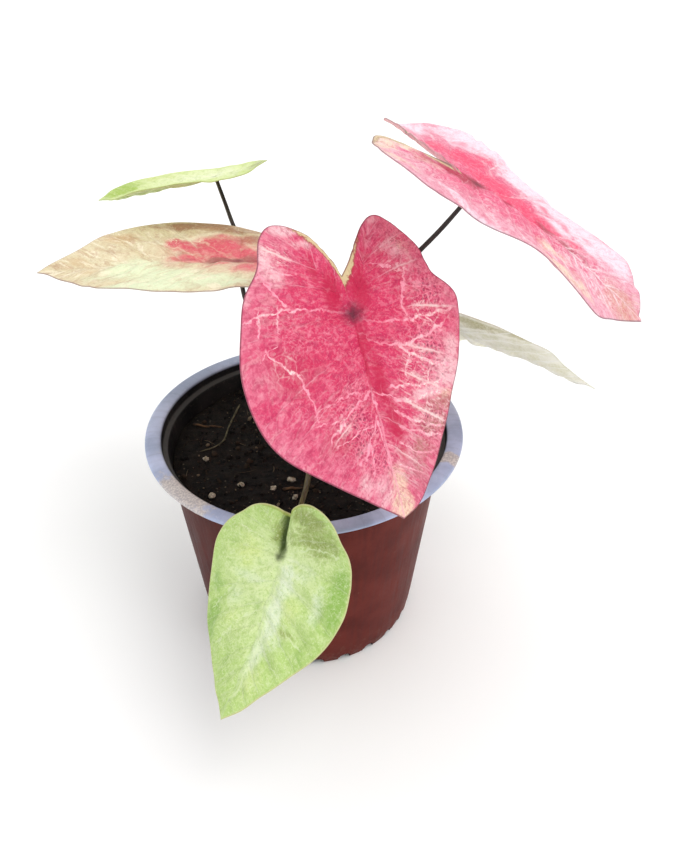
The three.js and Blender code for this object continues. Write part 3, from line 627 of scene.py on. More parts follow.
LOOKS = {
    "main_pink": dict(
        puff=1.35, crease=0.35, notch_from=(149, 169), notch_width=7.5, blots=0.38, deep=(210, 50, 94),
        mid=(212, 66, 107), pale=(220, 116, 142), spread=(0.32, 1.2), cell=(176, 44, 86), cell_amount=0.7,
        net=(236, 150, 170), net_amount=0.6, speckle=0.35, ripple=0.42, spots=0.95, spot=(126, 42, 72),
        vein=(246, 164, 184), white=(246, 216, 214), vein_amount=0.55, vein_from=(0.25, 0.6),
        core=(188, 28, 70), fleck=(244, 210, 210), strokes=0.3,
        tints=((178, 120, 112), (240, 196, 202), (238, 212, 184), (194, 116, 128)),
        # notch: its first, dark red colour is partly the border's own and partly painted shadow inside the
        # notch
        notch=((158, 70, 66), (222, 208, 162)), heart=(70, 24, 42), heart_reach=7.0, edge=(112, 44, 64),
        under=((212, 128, 142), (230, 182, 174), (190, 138, 122)), line_amount=1.0,
        marks=dict(
            first=((42, -28, 4, 10, 0.95), (49, -24, 5, 9, 0.9), (57, -17, 5, 7, 0.75), (66, -4, 5, 5, 0.4),
                (-2, -42, 8, 4, 0.3), (63, -14, 6, 5, 0.5), (-18, 13, 6, 3, 0.4)),
            second=((-22, -26, 10, 8, 0.55), (-14, 22, 8, 6, 0.25), (-12, -30, 13, 9, 0.37),
                (29, -36, 8, 8, 1.0), (20, -40, 6, 5, 0.8), (36, -24, 3, 10, 0.9), (-38, 18, 3, 9, 0.95),
                (-31, 12, 3, 5, 0.7), (-26, 32, 8, 5, 0.8), (-18, 29, 5, 6, 0.6), (66, 14, 7, 6, 0.6),
                (60, -8, 9, 8, 0.6), (-14, 43, 8, 4, 0.5), (52, -12, 6, 6, 0.45), (-37, -20, 3, 6, 0.6),
                (70, 6, 10, 8, 0.6)),
            third=((78, -1, 9, 6, 1.0), (67, -2, 7, 5, 0.8), (38, -33, 3, 8, 0.6), (-26, -30, 8, 5, 0.4)),
            fourth=((66, -12, 10, 8, 0.7), (20, -28, 14, 9, 0.4), (45, -22, 10, 10, 0.5)),
            netted=((45, 13, 15, 12, 1.0), (30, 8, 8, 8, 0.7), (20, -28, 18, 11, 0.8), (48, -24, 9, 9, 0.9),
                (-26, -28, 9, 9, 0.6), (-4, -34, 12, 9, 0.9), (-25, 25, 6, 8, 0.6), (58, 4, 9, 12, 0.8),
                (8, 28, 12, 8, 0.5), (30, 32, 10, 8, 0.3), (6, 12, 8, 7, 0.4), (36, -6, 10, 6, 0.4)),
            # dark: the midrib's own crimson, and painted shade along the crease and round the notch's foot
            dark=((10, -2, 12, 3.5, 0.75), (28, -4, 14, 4, 0.85), (45, -6, 10, 4.5, 0.95),
                (57, -7, 6, 3.5, 0.7), (16, 0, 22, 1.1, 0.9), (-10, 7, 10, 5.0, 1.0), (-20, 12, 8, 3, 0.7),
                (-10, -5, 12, 5, 1.0), (-22, -12, 9, 3, 0.5), (2, 5, 5, 8, 0.5), (2, -8, 3, 9, 0.5),
                (18, 32, 14, 14, 0.58), (48, 20, 9, 10, 0.58), (-12, 24, 8, 8, 0.3)),
            white=((34, -24, 22, 13, 1.0), (4, -34, 9, 12, 0.8), (-27, 27, 8, 8, 0.9), (44, 16, 12, 9, 0.5),
                (-4, 34, 6, 14, 0.55), (-20, -26, 10, 9, 0.6), (16, 34, 9, 8, 0.8), (60, -8, 12, 10, 0.5))),
        lines=((0, 2, -4, 46, 3, 0.7), (-7, 28, -23, 35, -1, 0.6), (-18, 22, -24, 37, 0, 0.7),
               (-21, 38, -16, 31, 0, 0.5), (-7, 31, 3, 33, 0.5, 0.5), (-7, 39, 3, 42, 0, 0.5),
               (8, 40, 20, 30, 1, 0.7), (7, 36, 12, 44, 0, 0.5), (19, 31, 38, 26, -1.5, 0.6),
               (31, 1, 47, 23, 1.5, 0.8), (31, 5, 36, 27, 1.5, 0.5), (40, 15, 40, 27, 0, 0.5),
               (30, 0, 64, 1, 0.5, 0.6), (41, 1, 58, 14, -1, 0.8), (44, 4, 50, 21, 0.5, 0.5),
               (50, 7, 63, 9, 0, 0.6), (3, -3, 4, -45, 2.5, 0.8), (4, -22, -15, -28, -1.5, 0.9),
               (-19, -12, -13, -29, 0.5, 0.6), (-9, -24, -5, -36, 0.5, 0.5), (5, -30, 13, -37, 0, 0.6),
               (8, -1, 15, -16, 1.5, 0.5), (15, -15, 27, -36, 1.5, 1.1), (16, -17, 10, -38, 0.5, 1.0),
               (18, -20, 29, -17, 0.5, 0.7), (24, -28, 33, -26, 0, 0.5), (31, -1, 37, -11, 0, 0.7),
               (31, -8, 33, -32, 0.5, 1.0), (37, -9, 37, -30, 0.8, 1.2), (40, -7, 50, -27, 1.5, 0.9),
               (46, -8, 54, -26, 1, 0.8), (53, -6, 60, -21, 1, 0.7), (60, -3, 67, -15, 0.5, 0.6))),
    "front_green": dict(
        puff=2.5, crease=1.9, deep=(206, 222, 162), mid=(192, 213, 142), pale=(174, 202, 116),
        spread=(0.15, 1.05), cell=(150, 180, 96), net=(220, 231, 184), net_amount=0.35, speckle=0.55,
        spot=(128, 156, 78), twigs=0.3, vein=(216, 229, 186), white=(226, 235, 208), vein_amount=0.3,
        # core and heart are dark greens for painted shade in the crease and at the junction
        core=(58, 76, 24), fleck=(232, 238, 184), fleck_amount=0.3,
        tints=((138, 176, 82), (218, 230, 200), (136, 150, 76), (206, 222, 146)),
        notch=((150, 166, 84), (166, 182, 96)), heart=(54, 66, 24), heart_reach=3.2, edge=(200, 196, 146),
        under=((168, 190, 128), (190, 206, 150), (150, 160, 100)), line_amount=0.6,
        marks=dict(
            first=((6, -32, 16, 5, 1.0), (36, 27, 11, 5, 0.95), (20, 28, 6, 5, 0.8), (22, 4, 6, 3, 0.45),
                (34, -22, 10, 4, 0.5), (-4, 24, 8, 5, 0.35), (12, -28, 10, 6, 0.6), (50, 12, 10, 5, 0.4)),
            second=((9, -6, 10, 5, 1.0), (24, -5, 13, 4.5, 1.0), (42, -3, 12, 4, 0.8),
                (12, -24, 9, 4, 0.75), (3, -14, 5, 9, 0.5), (12, 12, 4, 12, 0.5), (33, -9, 6, 6, 0.5),
                (22, 16, 8, 6, 0.5)),
            # third: olive, here painted fold shade on the folded left lobe and along the crease
            third=((-20, -14, 5, 12, 1.0), (-13, -18, 8, 12, 0.9), (-14, -26, 7, 6, 0.8),
                (-17, 14, 5, 7, 0.3), (-10, -6, 8, 4, 0.5), (-9, 2, 8, 4, 0.8), (28, -14, 2.5, 7, 0.6)),
            fourth=((2, 14, 9, 8, 0.7), (18, -13, 6, 6, 0.7), (50, -6, 10, 8, 0.6), (30, 14, 10, 7, 0.5)),
            netted=((40, 10, 20, 14, 0.6), (0, -28, 12, 6, 0.7), (-14, -20, 7, 9, 0.6),
                (-2, 24, 14, 6, 0.5)),
            # dark: painted shade in the crease from the junction to the notch and beside it
            dark=((-7, -0.5, 8, 1.6, 1.0), (-4, -1.5, 6, 1.9, 0.8), (-14, 1.5, 5, 2.0, 0.5),
                (-4, -16, 1.2, 9, 0.3)),
            white=((16, -6, 26, 6, 0.9),)),
        lines=((2, -1, 58, -1, -1.5, 0.9), (3, 2, 31, 28, 2, 0.6), (0, -1, -10, -31, -3, 0.6),
               (6, -2, 15, -27, 1, 0.8), (20, -2, 31, -22, 1, 0.5), (22, 1, 44, 21, 1.5, 0.5),
               (36, -2, 44, -16, 0.5, 0.4), (0, 1, -8, 24, 2, 0.4))),
    "upper_right_pink": dict(
        puff=1.2, ruffle=0.9, near_ruffle=0.1, notch_width=4.0, stroke_size=3.0, blots=0.4, veil=0.5,
        deep=(230, 88, 128), mid=(226, 116, 146), pale=(232, 166, 184), spread=(0.2, 0.98),
        cell=(210, 92, 122), cell_amount=0.6, net=(249, 194, 208), net_amount=0.55, speckle=0.45,
        ripple=0.38, spots=0.6, spot=(186, 84, 100), twigs=0.45, vein=(244, 200, 208),
        white=(246, 226, 230), vein_from=(0.25, 0.6), core=(170, 44, 66), fleck=(250, 228, 232),
        strokes=0.55, tints=((214, 158, 140), (244, 226, 238), (238, 64, 108), (234, 218, 190)),
        notch=((164, 128, 96), (222, 200, 164)), heart=(112, 22, 42), heart_reach=5.5, edge=(126, 100, 108),
        # under: brighter than the tissue, as painted light on the shaded underside strip
        under=((246, 172, 184), (250, 204, 208), (240, 190, 190)), line_amount=0.8,
        marks=dict(
            first=((79, 2, 13, 14, 1.0), (68, 12, 8, 8, 0.4), (-22, 14, 9, 8, 0.8), (72, -12, 8, 8, 0.4),
                (-30, 24, 8, 8, 0.4), (52, 20, 10, 5, 0.5)),
            second=((-4, -58, 30, 12, 1.0), (20, -46, 18, 12, 1.0), (46, -30, 20, 14, 1.0),
                (-40, -46, 10, 14, 0.8), (66, -28, 14, 12, 1.0), (56, -20, 8, 6, 0.9),
                (-16, -48, 10, 9, 0.8), (5, 42, 24, 6, 0.6), (-10, -56, 16, 12, 0.9), (60, -14, 8, 6, 0.5),
                (40, -14, 12, 7, 0.8), (30, -26, 10, 10, 0.8), (16, -38, 12, 9, 1.0)),
            third=((14, -8, 16, 9, 1.0), (-10, -26, 12, 11, 0.9), (26, -4, 10, 8, 0.8),
                (-24, -24, 8, 9, 0.7), (4, -14, 12, 10, 1.0), (-16, -46, 6, 5, 0.6), (-2, -38, 8, 5, 0.6),
                (36, -8, 9, 5, 0.9), (48, -10, 7, 5, 0.8), (30, -24, 6, 4, 0.7), (54, -26, 5, 4, 0.5),
                (42, -20, 4, 4, 0.6), (58, -12, 5, 4, 0.5)),
            fourth=((-42, 20, 8, 24, 1.0), (-34, 8, 8, 6, 0.9), (46, 30, 14, 7, 1.0), (-30, 46, 12, 8, 0.7),
                (58, 26, 8, 6, 0.8), (84, -14, 6, 8, 0.4), (40, 13, 10, 6, 0.8)),
            netted=((45, -2, 14, 14, 0.8), (20, -34, 14, 9, 0.5), (-24, 22, 10, 12, 0.9),
                (66, 0, 12, 20, 0.6), (-10, 30, 14, 10, 0.6), (10, 24, 14, 8, 0.4)),
            # dark: the midrib's own dark red, and painted shade on the crease's near side by the junction
            dark=((-10, 5, 14, 6, 1.0), (-2, 0, 8, 5, 0.9), (12, 1, 14, 2.5, 0.65), (34, -3, 7, 4, 0.8),
                (46, -2, 6, 3, 0.8), (55, -3, 5, 3, 0.6), (-22, 8, 9, 5, 0.6), (0, 20, 8, 5, 0.3)),
            white=((60, 6, 24, 20, 0.8), (10, -40, 20, 10, 0.6), (20, 30, 20, 10, 0.5))),
        lines=((28, 12, 46, 22, 1, 1.0), (32, 4, 52, 14, 0.5, 0.7), (54, 2, 72, 18, 1, 0.6),
               (62, 0, 76, 12, 0.5, 0.5), (58, -2, 74, -20, -1, 0.6), (40, -4, 60, -28, -1.5, 0.6),
               (0, 3, 14, 32, 1.5, 0.5), (-4, 5, -18, 36, -2, 0.6), (8, -4, 26, -36, 2, 0.6))),
    "left_cream": dict(
        puff=1.5, ruffle=0.4, notch_width=4.0, ragged=0.5, stroke_size=5.0, blots=0.2, veil=0.35,
        deep=(212, 174, 154), mid=(223, 207, 173), pale=(220, 207, 170), spread=(0.08, 0.8),
        cell=(180, 138, 106), net=(246, 238, 208), ripple=0.15, spots=0.2, spot=(150, 116, 84),
        vein=(244, 232, 202), white=(246, 238, 212), vein_amount=0.35, vein_from=(0.15, 0.4),
        core=(150, 66, 72), fleck=(246, 236, 208), fleck_amount=0.8, strokes=1.0,
        tints=((164, 122, 96), (224, 234, 196), (218, 84, 106), (208, 180, 138)),
        notch=((200, 176, 120), (232, 216, 170)), heart=(130, 52, 62), heart_reach=4.0,
        edge=(150, 122, 124), under=((206, 194, 156), (220, 211, 178), (182, 172, 128)), line_amount=0.4,
        marks=dict(
            first=((24, 44, 26, 6, 1.0), (6, 42, 16, 9, 1.0), (30, 36, 7, 5, 0.5), (-4, 28, 10, 9, 0.8),
                (58, 14, 8, 5, 0.4), (80, 3, 6, 4, 0.5), (26, 10, 5, 5, 0.5), (40, 26, 4, 4, 0.5)),
            second=((45, -8, 14, 14, 1.0), (28, -22, 16, 14, 1.0), (8, -30, 14, 10, 0.9),
                (60, -14, 12, 6, 0.5), (30, -36, 34, 8, 0.9), (4, -34, 14, 8, 0.8)),
            third=((10, 17, 15, 13, 1.0), (20, 19, 13, 10, 1.0), (0, 26, 9, 9, 0.7), (10, 30, 9, 6, 0.6),
                (30, 21, 7, 7, 0.8), (22, 4, 11, 6, 0.8), (-12, 6, 10, 20, 0.85), (-2, 10, 9, 8, 0.9),
                (-6, -12, 10, 12, 0.7), (8, -6, 8, 4, 0.6), (8, 6, 8, 5, 0.8), (15, 17, 24, 20, 0.6)),
            fourth=((57, 28, 9, 7, 0.9), (72, 6, 9, 6, 0.6), (66, -6, 9, 5, 0.5), (40, 24, 8, 6, 0.4)),
            netted=((16, 30, 12, 8, 0.5), (60, 10, 12, 10, 0.4)),
            dark=((5, 1, 12, 4.5, 1.0), (-6, 2, 8, 6, 0.8), (22, 2, 7, 2, 0.5)),
            white=((30, 26, 14, 9, 0.8), (56, 4, 12, 10, 0.6))),
        lines=((2, 2, 34, 38, 1.5, 0.9), (14, 1, 50, 33, 1, 0.9), (28, 1, 62, 25, 0.5, 0.7),
               (44, 1, 74, 14, 0, 0.6), (12, -1, 34, -34, -1, 0.9), (28, -1, 50, -28, -1, 0.8),
               (44, -1, 66, -18, -0.5, 0.6))),
    "upper_left_green": dict(
        ruffle=0.4, blots=0.25, deep=(232, 238, 198), mid=(224, 233, 180), pale=(206, 221, 146),
        cell=(174, 197, 98), cell_amount=0.25, net=(230, 238, 182), net_amount=0.25, spot=(150, 172, 80),
        twigs=0.4, vein=(228, 237, 188), white=(234, 241, 204), vein_amount=0.4, core=(150, 172, 70),
        fleck=(234, 241, 190), fleck_amount=0.2, strokes=0.25,
        tints=((158, 186, 80), (228, 235, 186), (172, 176, 136), (202, 214, 130)),
        notch=((170, 184, 100), (196, 206, 132)), heart=(112, 120, 52), edge=(170, 184, 110),
        under=((208, 220, 150), (220, 230, 172), (178, 194, 120)), line_amount=0.5,
        marks=dict(
            first=((48, 6, 12, 20, 0.85), (20, -2, 30, 4, 0.5)),
            second=((12, 16, 26, 8, 0.9),),
            third=((-24, 0, 8, 26, 0.9),),
            fourth=((30, 18, 14, 6, 0.6),),
            netted=((20, 5, 30, 18, 0.4),),
            white=((5, 5, 20, 14, 0.4),)),
        lines=((2, 0, 52, 0, 0.5, 0.7), (2, 2, 22, 28, 1.5, 0.5), (2, -2, 22, -28, -1.5, 0.5))),
    "lower_right_grey": dict(
        ruffle=0.2, notch_width=2.5, glow=0.5, deep=(212, 214, 186), mid=(206, 208, 176),
        pale=(198, 202, 164), cell=(164, 172, 126), cell_amount=0.45, net=(222, 226, 196),
        spot=(150, 156, 116), twigs=0.4, vein=(226, 228, 206), white=(232, 232, 214), core=(160, 164, 124),
        fleck=(232, 234, 208), fleck_amount=0.2,
        tints=((172, 166, 116), (228, 230, 212), (214, 156, 146), (196, 204, 150)),
        notch=((166, 170, 124), (198, 202, 164)), heart=(110, 108, 80), edge=(156, 156, 128),
        # under: far paler than the tissue, as painted light standing in for light passing through the shaded
        # leaf
        under=((243, 241, 222), (249, 249, 240), (222, 220, 190)), line_amount=0.7,
        marks=dict(
            first=((14, 36, 14, 8, 0.9), (38, 40, 24, 5, 0.8), (30, 12, 16, 8, 0.2)),
            second=((55, 10, 24, 10, 0.8),),
            third=((6, 0, 16, 9, 0.8), (24, 2, 12, 4, 0.5)),
            fourth=((26, 16, 16, 10, 0.5),),
            netted=((30, 20, 30, 18, 0.4),),
            dark=((14, 8, 6, 3, 0.5),)),
        lines=((2, 0, 84, 0, 0.5, 0.8), (2, 2, 26, 40, 1.5, 0.6), (2, -2, 26, -40, -1.5, 0.6),
               (16, 1, 44, 36, 2, 0.6), (18, -1, 46, -36, -2, 0.6), (32, 1, 58, 30, 1.5, 0.5),
               (34, -1, 60, -29, -1.5, 0.5), (48, 1, 70, 20, 1, 0.5), (50, -1, 72, -18, -1, 0.5),
               (-2, 3, -22, 30, -2, 0.6), (-2, -3, -22, -30, 2, 0.6))),
}


def leaf_fields(f):
    """What the blade's attributes say at a point, with the distances and noises that several
    coats share."""
    at = SimpleNamespace()
    at.s, at.t, at.upper = f.split(f.attribute("place"))
    at.number, at.gap, at.reach = f.split(f.attribute("veins"))
    at.edge_mm, at.share, at.spine = f.split(f.attribute("rim"))
    at.first, at.second, at.third = f.split(f.attribute("tints"))
    at.netted, at.dark, at.white = f.split(f.attribute("zones"))
    at.notch, at.fourth, at.crease = f.split(f.attribute("marks"))

    at.flat = f.join(at.s, at.t)
    at.wandering = f.shift(at.flat, 0.8, 3.2)
    side = f.times(f.math("SIGN", at.t), 30.0)
    at.streaks = f.join(f.times(at.number, 11.0), f.times(at.reach, 0.33), side)
    at.broad = f.noise(at.flat, 13.0, 2.0)
    at.streak = f.noise(at.streaks, 3.0, 4.0, 0.62, 0.7)
    at.fine = f.noise(at.flat, 1.4, 4.0, 0.65)
    at.wobble = f.times(f.add(f.noise(at.flat, 4.0, 3.0), -0.5), 1.8)
    at.cell_edge = f.cells(at.wandering, 1.7)
    at.net_line = f.fall(at.cell_edge, 0.02, 0.16)
    at.cross = f.cells(at.wandering, 5.5)

    def past(value, slope):
        """0 while a value is positive, rising with the slope as it falls below 0."""
        return f.times(f.most(f.times(value, -1.0), 0.0), slope)

    off_side = f.times(f.add(f.math("FRACT", f.add(at.number, 0.5)), -0.5), at.gap)
    at.off_side = f.away(f.add(off_side, at.wobble))
    at.off_mid = f.add(f.away(f.add(at.t, f.times(at.wobble, 0.35))), past(at.s, 2.0))
    along_spine = f.add(f.times(at.s, float(SPINE[0])), f.times(f.away(at.t), float(SPINE[1])))
    at.off_spine = f.add(f.away(f.add(at.spine, at.wobble)), past(along_spine, 3.0))
    return at


def lay_ground(f, look, at):
    """A colour that changes towards the margin, and four tints in patches whose ragged edges
    follow the strokes."""
    tone = f.sway(f.sway(at.share, at.broad, 0.7), at.streak, 0.5)
    f.colour = f.ramp(f.step(tone, *look["spread"]), (
        (0.0, look["deep"]), (0.45, look["mid"]), (1.0, look["pale"])))
    ragged = f.times(f.add(at.streak, -0.5), 0.9 * look["ragged"])
    at.ragged = f.sway(ragged, at.fine, 0.5 * look["ragged"])
    at.patches = []
    for mask, tint in ((at.second, 1), (at.third, 2), (at.fourth, 3), (at.first, 0)):
        at.patches.append(f.times(f.step(f.add(mask, at.ragged), 0.2, 0.8), f.step(mask, 0.03, 0.35)))
        f.coat(look["tints"][tint], at.patches[-1])


def lay_grain(f, look, at):
    """Strokes along the side veins, with darker ones between; dark cells, the net between
    them and spots in some; ripples, blots and specks; and the veil."""
    stroke = f.step(f.noise(at.streaks, look["stroke_size"], 3.0, 0.6, 1.0), 0.52, 0.62)
    where_stroke = f.step(f.sway(at.share, at.broad, 1.0), 0.1, 0.6)
    give_way = f.step(f.most(at.first, at.third), 0.2, 0.9, 1.0, 0.3)
    f.coat(look["fleck"], stroke, where_stroke, give_way, 0.75 * look["strokes"])
    between = f.join(f.times(at.number, 13.0), f.times(at.reach, 0.4))
    shadow = f.step(f.noise(between, look["stroke_size"], 3.0, 0.6, 1.0), 0.54, 0.66)
    f.coat(look["cell"], shadow, 0.45 * look["strokes"])

    near_net = f.add(at.netted, f.times(f.add(f.noise(at.flat, 6.0, 3.0), -0.42), 1.1))
    where_cells = f.times(f.step(near_net, 0.25, 0.8), f.step(at.share, 0.1, 0.35))
    cell_body = f.times(f.step(at.cell_edge, 0.1, 0.42), f.step(f.noise(at.flat, 1.1, 2.0), 0.4, 0.62))
    f.coat(look["cell"], cell_body, where_cells, look["cell_amount"])
    where_net = f.times(f.step(near_net, 0.1, 0.7), f.step(at.fine, 0.4, 0.55))
    f.coat(look["net"], at.net_line, where_net, look["net_amount"])
    spotted = f.times(f.step(at.cell_edge, 0.08, 0.26), f.step(f.noise(at.flat, 2.0, 3.0, 0.6), 0.44, 0.56))
    f.coat(look["spot"], spotted, f.step(f.sway(at.netted, at.broad, 0.8), 0.3, 0.9), look["spots"])

    # one colour where the noise is high, then another where it is low
    for noise, amount, high, first, low, second, share_of_low in (
        (f.noise(at.streaks, 1.5, 3.0, 0.62, 1.2), "ripple", (0.5, 0.64), "cell", (0.48, 0.35), "net", 0.8),
        (f.noise(at.wandering, 2.8, 3.0, 0.6, 0.8), "blots", (0.52, 0.62), "cell", (0.46, 0.36), "net", 0.8),
        (f.noise(at.wandering, 0.8, 3.0, 0.7), "speckle", (0.54, 0.68), "net", (0.46, 0.32), "cell", 1.0),
    ):
        f.coat(look[first], f.step(noise, *high), look[amount])
        f.coat(look[second], f.step(noise, *low), look[amount] * share_of_low)
    if look["veil"]:
        for patch, tint in zip(at.patches, look["tints"][1:3]):
            f.coat(tint, patch, look["veil"])


def lay_side_veins(f, look, at):
    """Flecks among the white veins; dark bands beside the midrib and in the lobes, partly the
    leaf's own colour and partly painted shade in its folds, and painted shade down the crease;
    side veins that narrow outwards, the vein that collects them and twigs."""
    fleck = f.step(f.sway(f.noise(at.streaks, 1.2, 3.0, 0.65, 0.5), at.fine, 0.25), 0.55, 0.64)
    f.coat(look["fleck"], fleck, f.step(at.white, 0.1, 0.8), look["fleck_amount"])
    # dark marks: the leaf's own dark bands, and painted shade in folds, beside the crease and round the
    # notch
    f.coat(look["core"], f.step(f.sway(at.dark, at.streak, 0.45), 0.15, 0.85), 0.8)
    # painted shade down the crease to the notch
    f.coat(look["core"], at.crease, min(1.0, 0.5 * look["crease"]))

    at.rising = f.step(at.share, *look["vein_from"])
    width = f.step(at.white, 0.1, 0.9, 0.4, 0.75)
    at.thread = f.fall(f.math("DIVIDE", at.off_side, width), 0.25, 1.0)
    broken = f.step(f.add(f.noise(at.streaks, 4.0, 2.0), f.times(at.white, 0.12)), 0.42, 0.56)
    pale_side = f.times(at.thread, at.rising, broken, f.step(at.edge_mm, 0.3, 2.5))
    # the collecting vein runs about 8.5 mm inside the margin and swings in at every side vein
    swing = f.times(f.math("COSINE", f.times(at.number, 2 * math.pi)), 2.4)
    off_collecting = f.away(f.add(at.edge_mm, -8.5, f.times(at.wobble, 2.2), swing))
    loop = f.times(f.fall(off_collecting, 0.1, 0.5), f.step(f.noise(at.flat, 8.0, 2.0), 0.44, 0.56))
    where_twigs = f.step(f.add(f.noise(at.flat, 5.0, 2.0), f.times(at.white, 0.15)), 0.5, 0.66)
    twigs = f.times(f.fall(at.cross, 0.01, 0.07), where_twigs)
    pale_veins = f.most(pale_side, f.times(f.most(loop, twigs), look["twigs"]))
    at.vein_colour = f.mix(f.step(at.white, 0.15, 0.7), look["vein"], look["white"])
    strength = f.step(at.white, 0.0, 0.7, 0.75 * look["vein_amount"], min(1.0, 1.3 * look["vein_amount"]))
    f.coat(at.vein_colour, pale_veins, strength)
    halo = f.times(f.fall(at.off_side, 0.2, 2.2), at.rising, broken, at.white)
    f.coat(look["white"], halo, f.step(at.fine, 0.4, 0.6, 0.1, 0.6))


def lay_main_veins(f, look, at):
    """The veins that stand out, with ragged edges and of uneven width, then the midrib and
    the spines of the lobes."""
    ragged_line = f.times(f.add(f.noise(at.flat, 1.6, 4.0, 0.65), -0.5), 2.0)
    ragged_line = f.sway(ragged_line, f.noise(at.flat, 6.5, 2.0), 5.0)
    thin = f.times(f.add(f.noise(at.flat, 3.4, 2.0), -0.46), 1.5)
    drawn = f.most(*[f.vein(at.flat, ragged_line, thin, *line) for line in look["lines"]])
    broken_line = f.times(f.step(f.noise(at.flat, 2.6, 3.0, 0.6), 0.34, 0.5, 0.4, 1.0),
                          f.step(at.share, 0.05, 0.55, 0.3, 1.0))
    soft = f.mix(f.step(at.fine, 0.42, 0.6), at.vein_colour, look["net"])
    f.coat(soft, drawn, broken_line, look["line_amount"])
    spine_pale = f.times(f.fall(at.off_spine, 0.15, 0.7), f.step(at.share, 0.45, 0.75),
                         f.step(f.noise(at.flat, 6.0, 2.0), 0.42, 0.55), 0.6)
    midrib_pale = f.times(f.fall(at.off_mid, 0.15, 0.75), at.rising)
    f.coat(at.vein_colour, f.most(midrib_pale, spine_pale), look["vein_amount"])


def lay_borders(f, look, at):
    """The notch's torn border, a heart at the junction and a fine line along the margin."""
    torn = f.sway(at.notch, f.noise(at.flat, 2.0, 4.0), 0.9)
    f.coat(look["notch"][0], f.step(torn, 0.2, 0.7), f.step(at.notch, 0.02, 0.2))
    f.coat(look["notch"][1], f.step(f.sway(torn, at.fine, 1.0), 0.5, 0.8), f.step(at.notch, 0.3, 0.6), 0.85)
    from_heart = f.math("SQRT", f.add(f.times(at.s, at.s), f.times(at.t, at.t)))
    from_heart = f.sway(from_heart, f.noise(at.flat, 3.0, 4.0, 0.65), look["heart_reach"])
    f.coat(look["heart"], f.fall(from_heart, 0.0, look["heart_reach"]), 0.85)
    at.margin = f.fall(f.add(at.edge_mm, f.times(at.wobble, 0.2)), 0.2, 0.75)
    f.coat(look["edge"], at.margin, 0.75)


def lay_underside(f, look, at):
    """A duller ground under the blade, with veins of its own colour."""
    upper_face = f.colour
    ground, ridge, cloud = look["under"]
    f.colour = f.mix(f.step(f.sway(at.broad, at.fine, 0.5), 0.35, 0.7), ground, cloud)
    f.coat(look["tints"][0], f.step(f.add(at.first, at.ragged), 0.2, 0.8), 0.8)
    f.coat(ridge, at.net_line, 0.25)
    ridges = f.most(f.fall(at.off_side, 0.2, 0.9), f.fall(at.off_mid, 0.5, 1.6),
                    f.fall(at.off_spine, 0.4, 1.4))
    f.coat(ridge, ridges, 0.55)
    f.coat(look["edge"], at.margin, 0.3)
    f.coat(upper_face, f.step(at.upper, 0.3, 0.7))


def blade_finish(name, look):
    """Leaf tissue in the blade's own flat coordinates, in coats. Its cells swell, and its net
    and veins are fine grooves."""
    f = Finish("leaf " + name.replace("_", " "), roughness=0.5, specular=0.22)
    if look["glow"]:
        f.shader.inputs["Subsurface Weight"].default_value = look["glow"]
        f.shader.inputs["Subsurface Scale"].default_value = 0.002
        f.shader.inputs["Subsurface Radius"].default_value = (1.0, 1.0, 1.0)
    at = leaf_fields(f)
    for lay in (lay_ground, lay_grain, lay_side_veins, lay_main_veins, lay_borders, lay_underside):
        lay(f, look, at)
    height = f.add(f.times(f.step(at.cell_edge, 0.0, 0.35), 0.4), f.times(f.step(at.cross, 0.0, 0.25), 0.6),
                   f.times(at.thread, -0.7), f.times(f.noise(at.flat, 0.55, 2.0), 0.2),
                   f.times(at.streak, 0.6))
    rough = f.step(f.add(at.fine, f.times(at.streak, 0.5)), 0.4, 1.1, 0.42, 0.62)
    return f.paint(rough, height, 0.2)


# ---------------------------------------------------------------------- petioles

def smooth_path(points, count):
    """Centripetal Catmull-Rom curve through the points, resampled at equal distances, and
    its length."""
    points = np.asarray(points, float)
    whole = np.vstack([2 * points[0] - points[1], points, 2 * points[-1] - points[-2]])
    u = np.linspace(0, 1, 60, endpoint=False)[:, None]
    dense = []
    for p0, p1, p2, p3 in zip(whole[:-3], whole[1:-2], whole[2:-1], whole[3:]):
        d0, d1, d2 = (np.linalg.norm(b - a) ** 0.5 for a, b in ((p0, p1), (p1, p2), (p2, p3)))
        m1 = ((p1 - p0) / d0 - (p2 - p0) / (d0 + d1) + (p2 - p1) / d1) * d1
        m2 = ((p2 - p1) / d1 - (p3 - p1) / (d1 + d2) + (p3 - p2) / d2) * d1
        dense.append(hermite(u, p1, m1, p2, m2))
    dense = np.concatenate(dense + [points[-1:]])
    length = np.concatenate([[0], np.cumsum(np.linalg.norm(np.diff(dense, axis=0), axis=1))])
    even = np.linspace(0, length[-1], count)
    return np.stack([np.interp(even, length, dense[:, k]) for k in range(3)], -1), length[-1]


def stalk(path, radius, reference):
    """Rings of a round stalk along a path. Radius is an array of one row a ring and one
    column a side. The rings' first axis stays square to the reference direction."""
    tangent = unit(np.gradient(path, axis=0))
    first = unit(np.cross(reference, tangent))
    second = np.cross(tangent, first)
    angle = even_angles(radius.shape[1])[:, None]
    ring = first[:, None] * np.cos(angle) + second[:, None] * np.sin(angle)
    return path[:, None] + ring * radius[..., None]


def stalk_attribute(rows, columns, length, radius):
    """Place on a stalk laid straight along y, for each point of closed rings."""
    along, angle = np.meshgrid(np.linspace(0, 1, rows), even_angles(columns), indexing="ij")
    body = np.stack([np.cos(angle) * radius, along * length, np.sin(angle) * radius], -1)
    return np.concatenate([[[0, 0, 0]], body.reshape(-1, 3), [[0, length, 0]]])


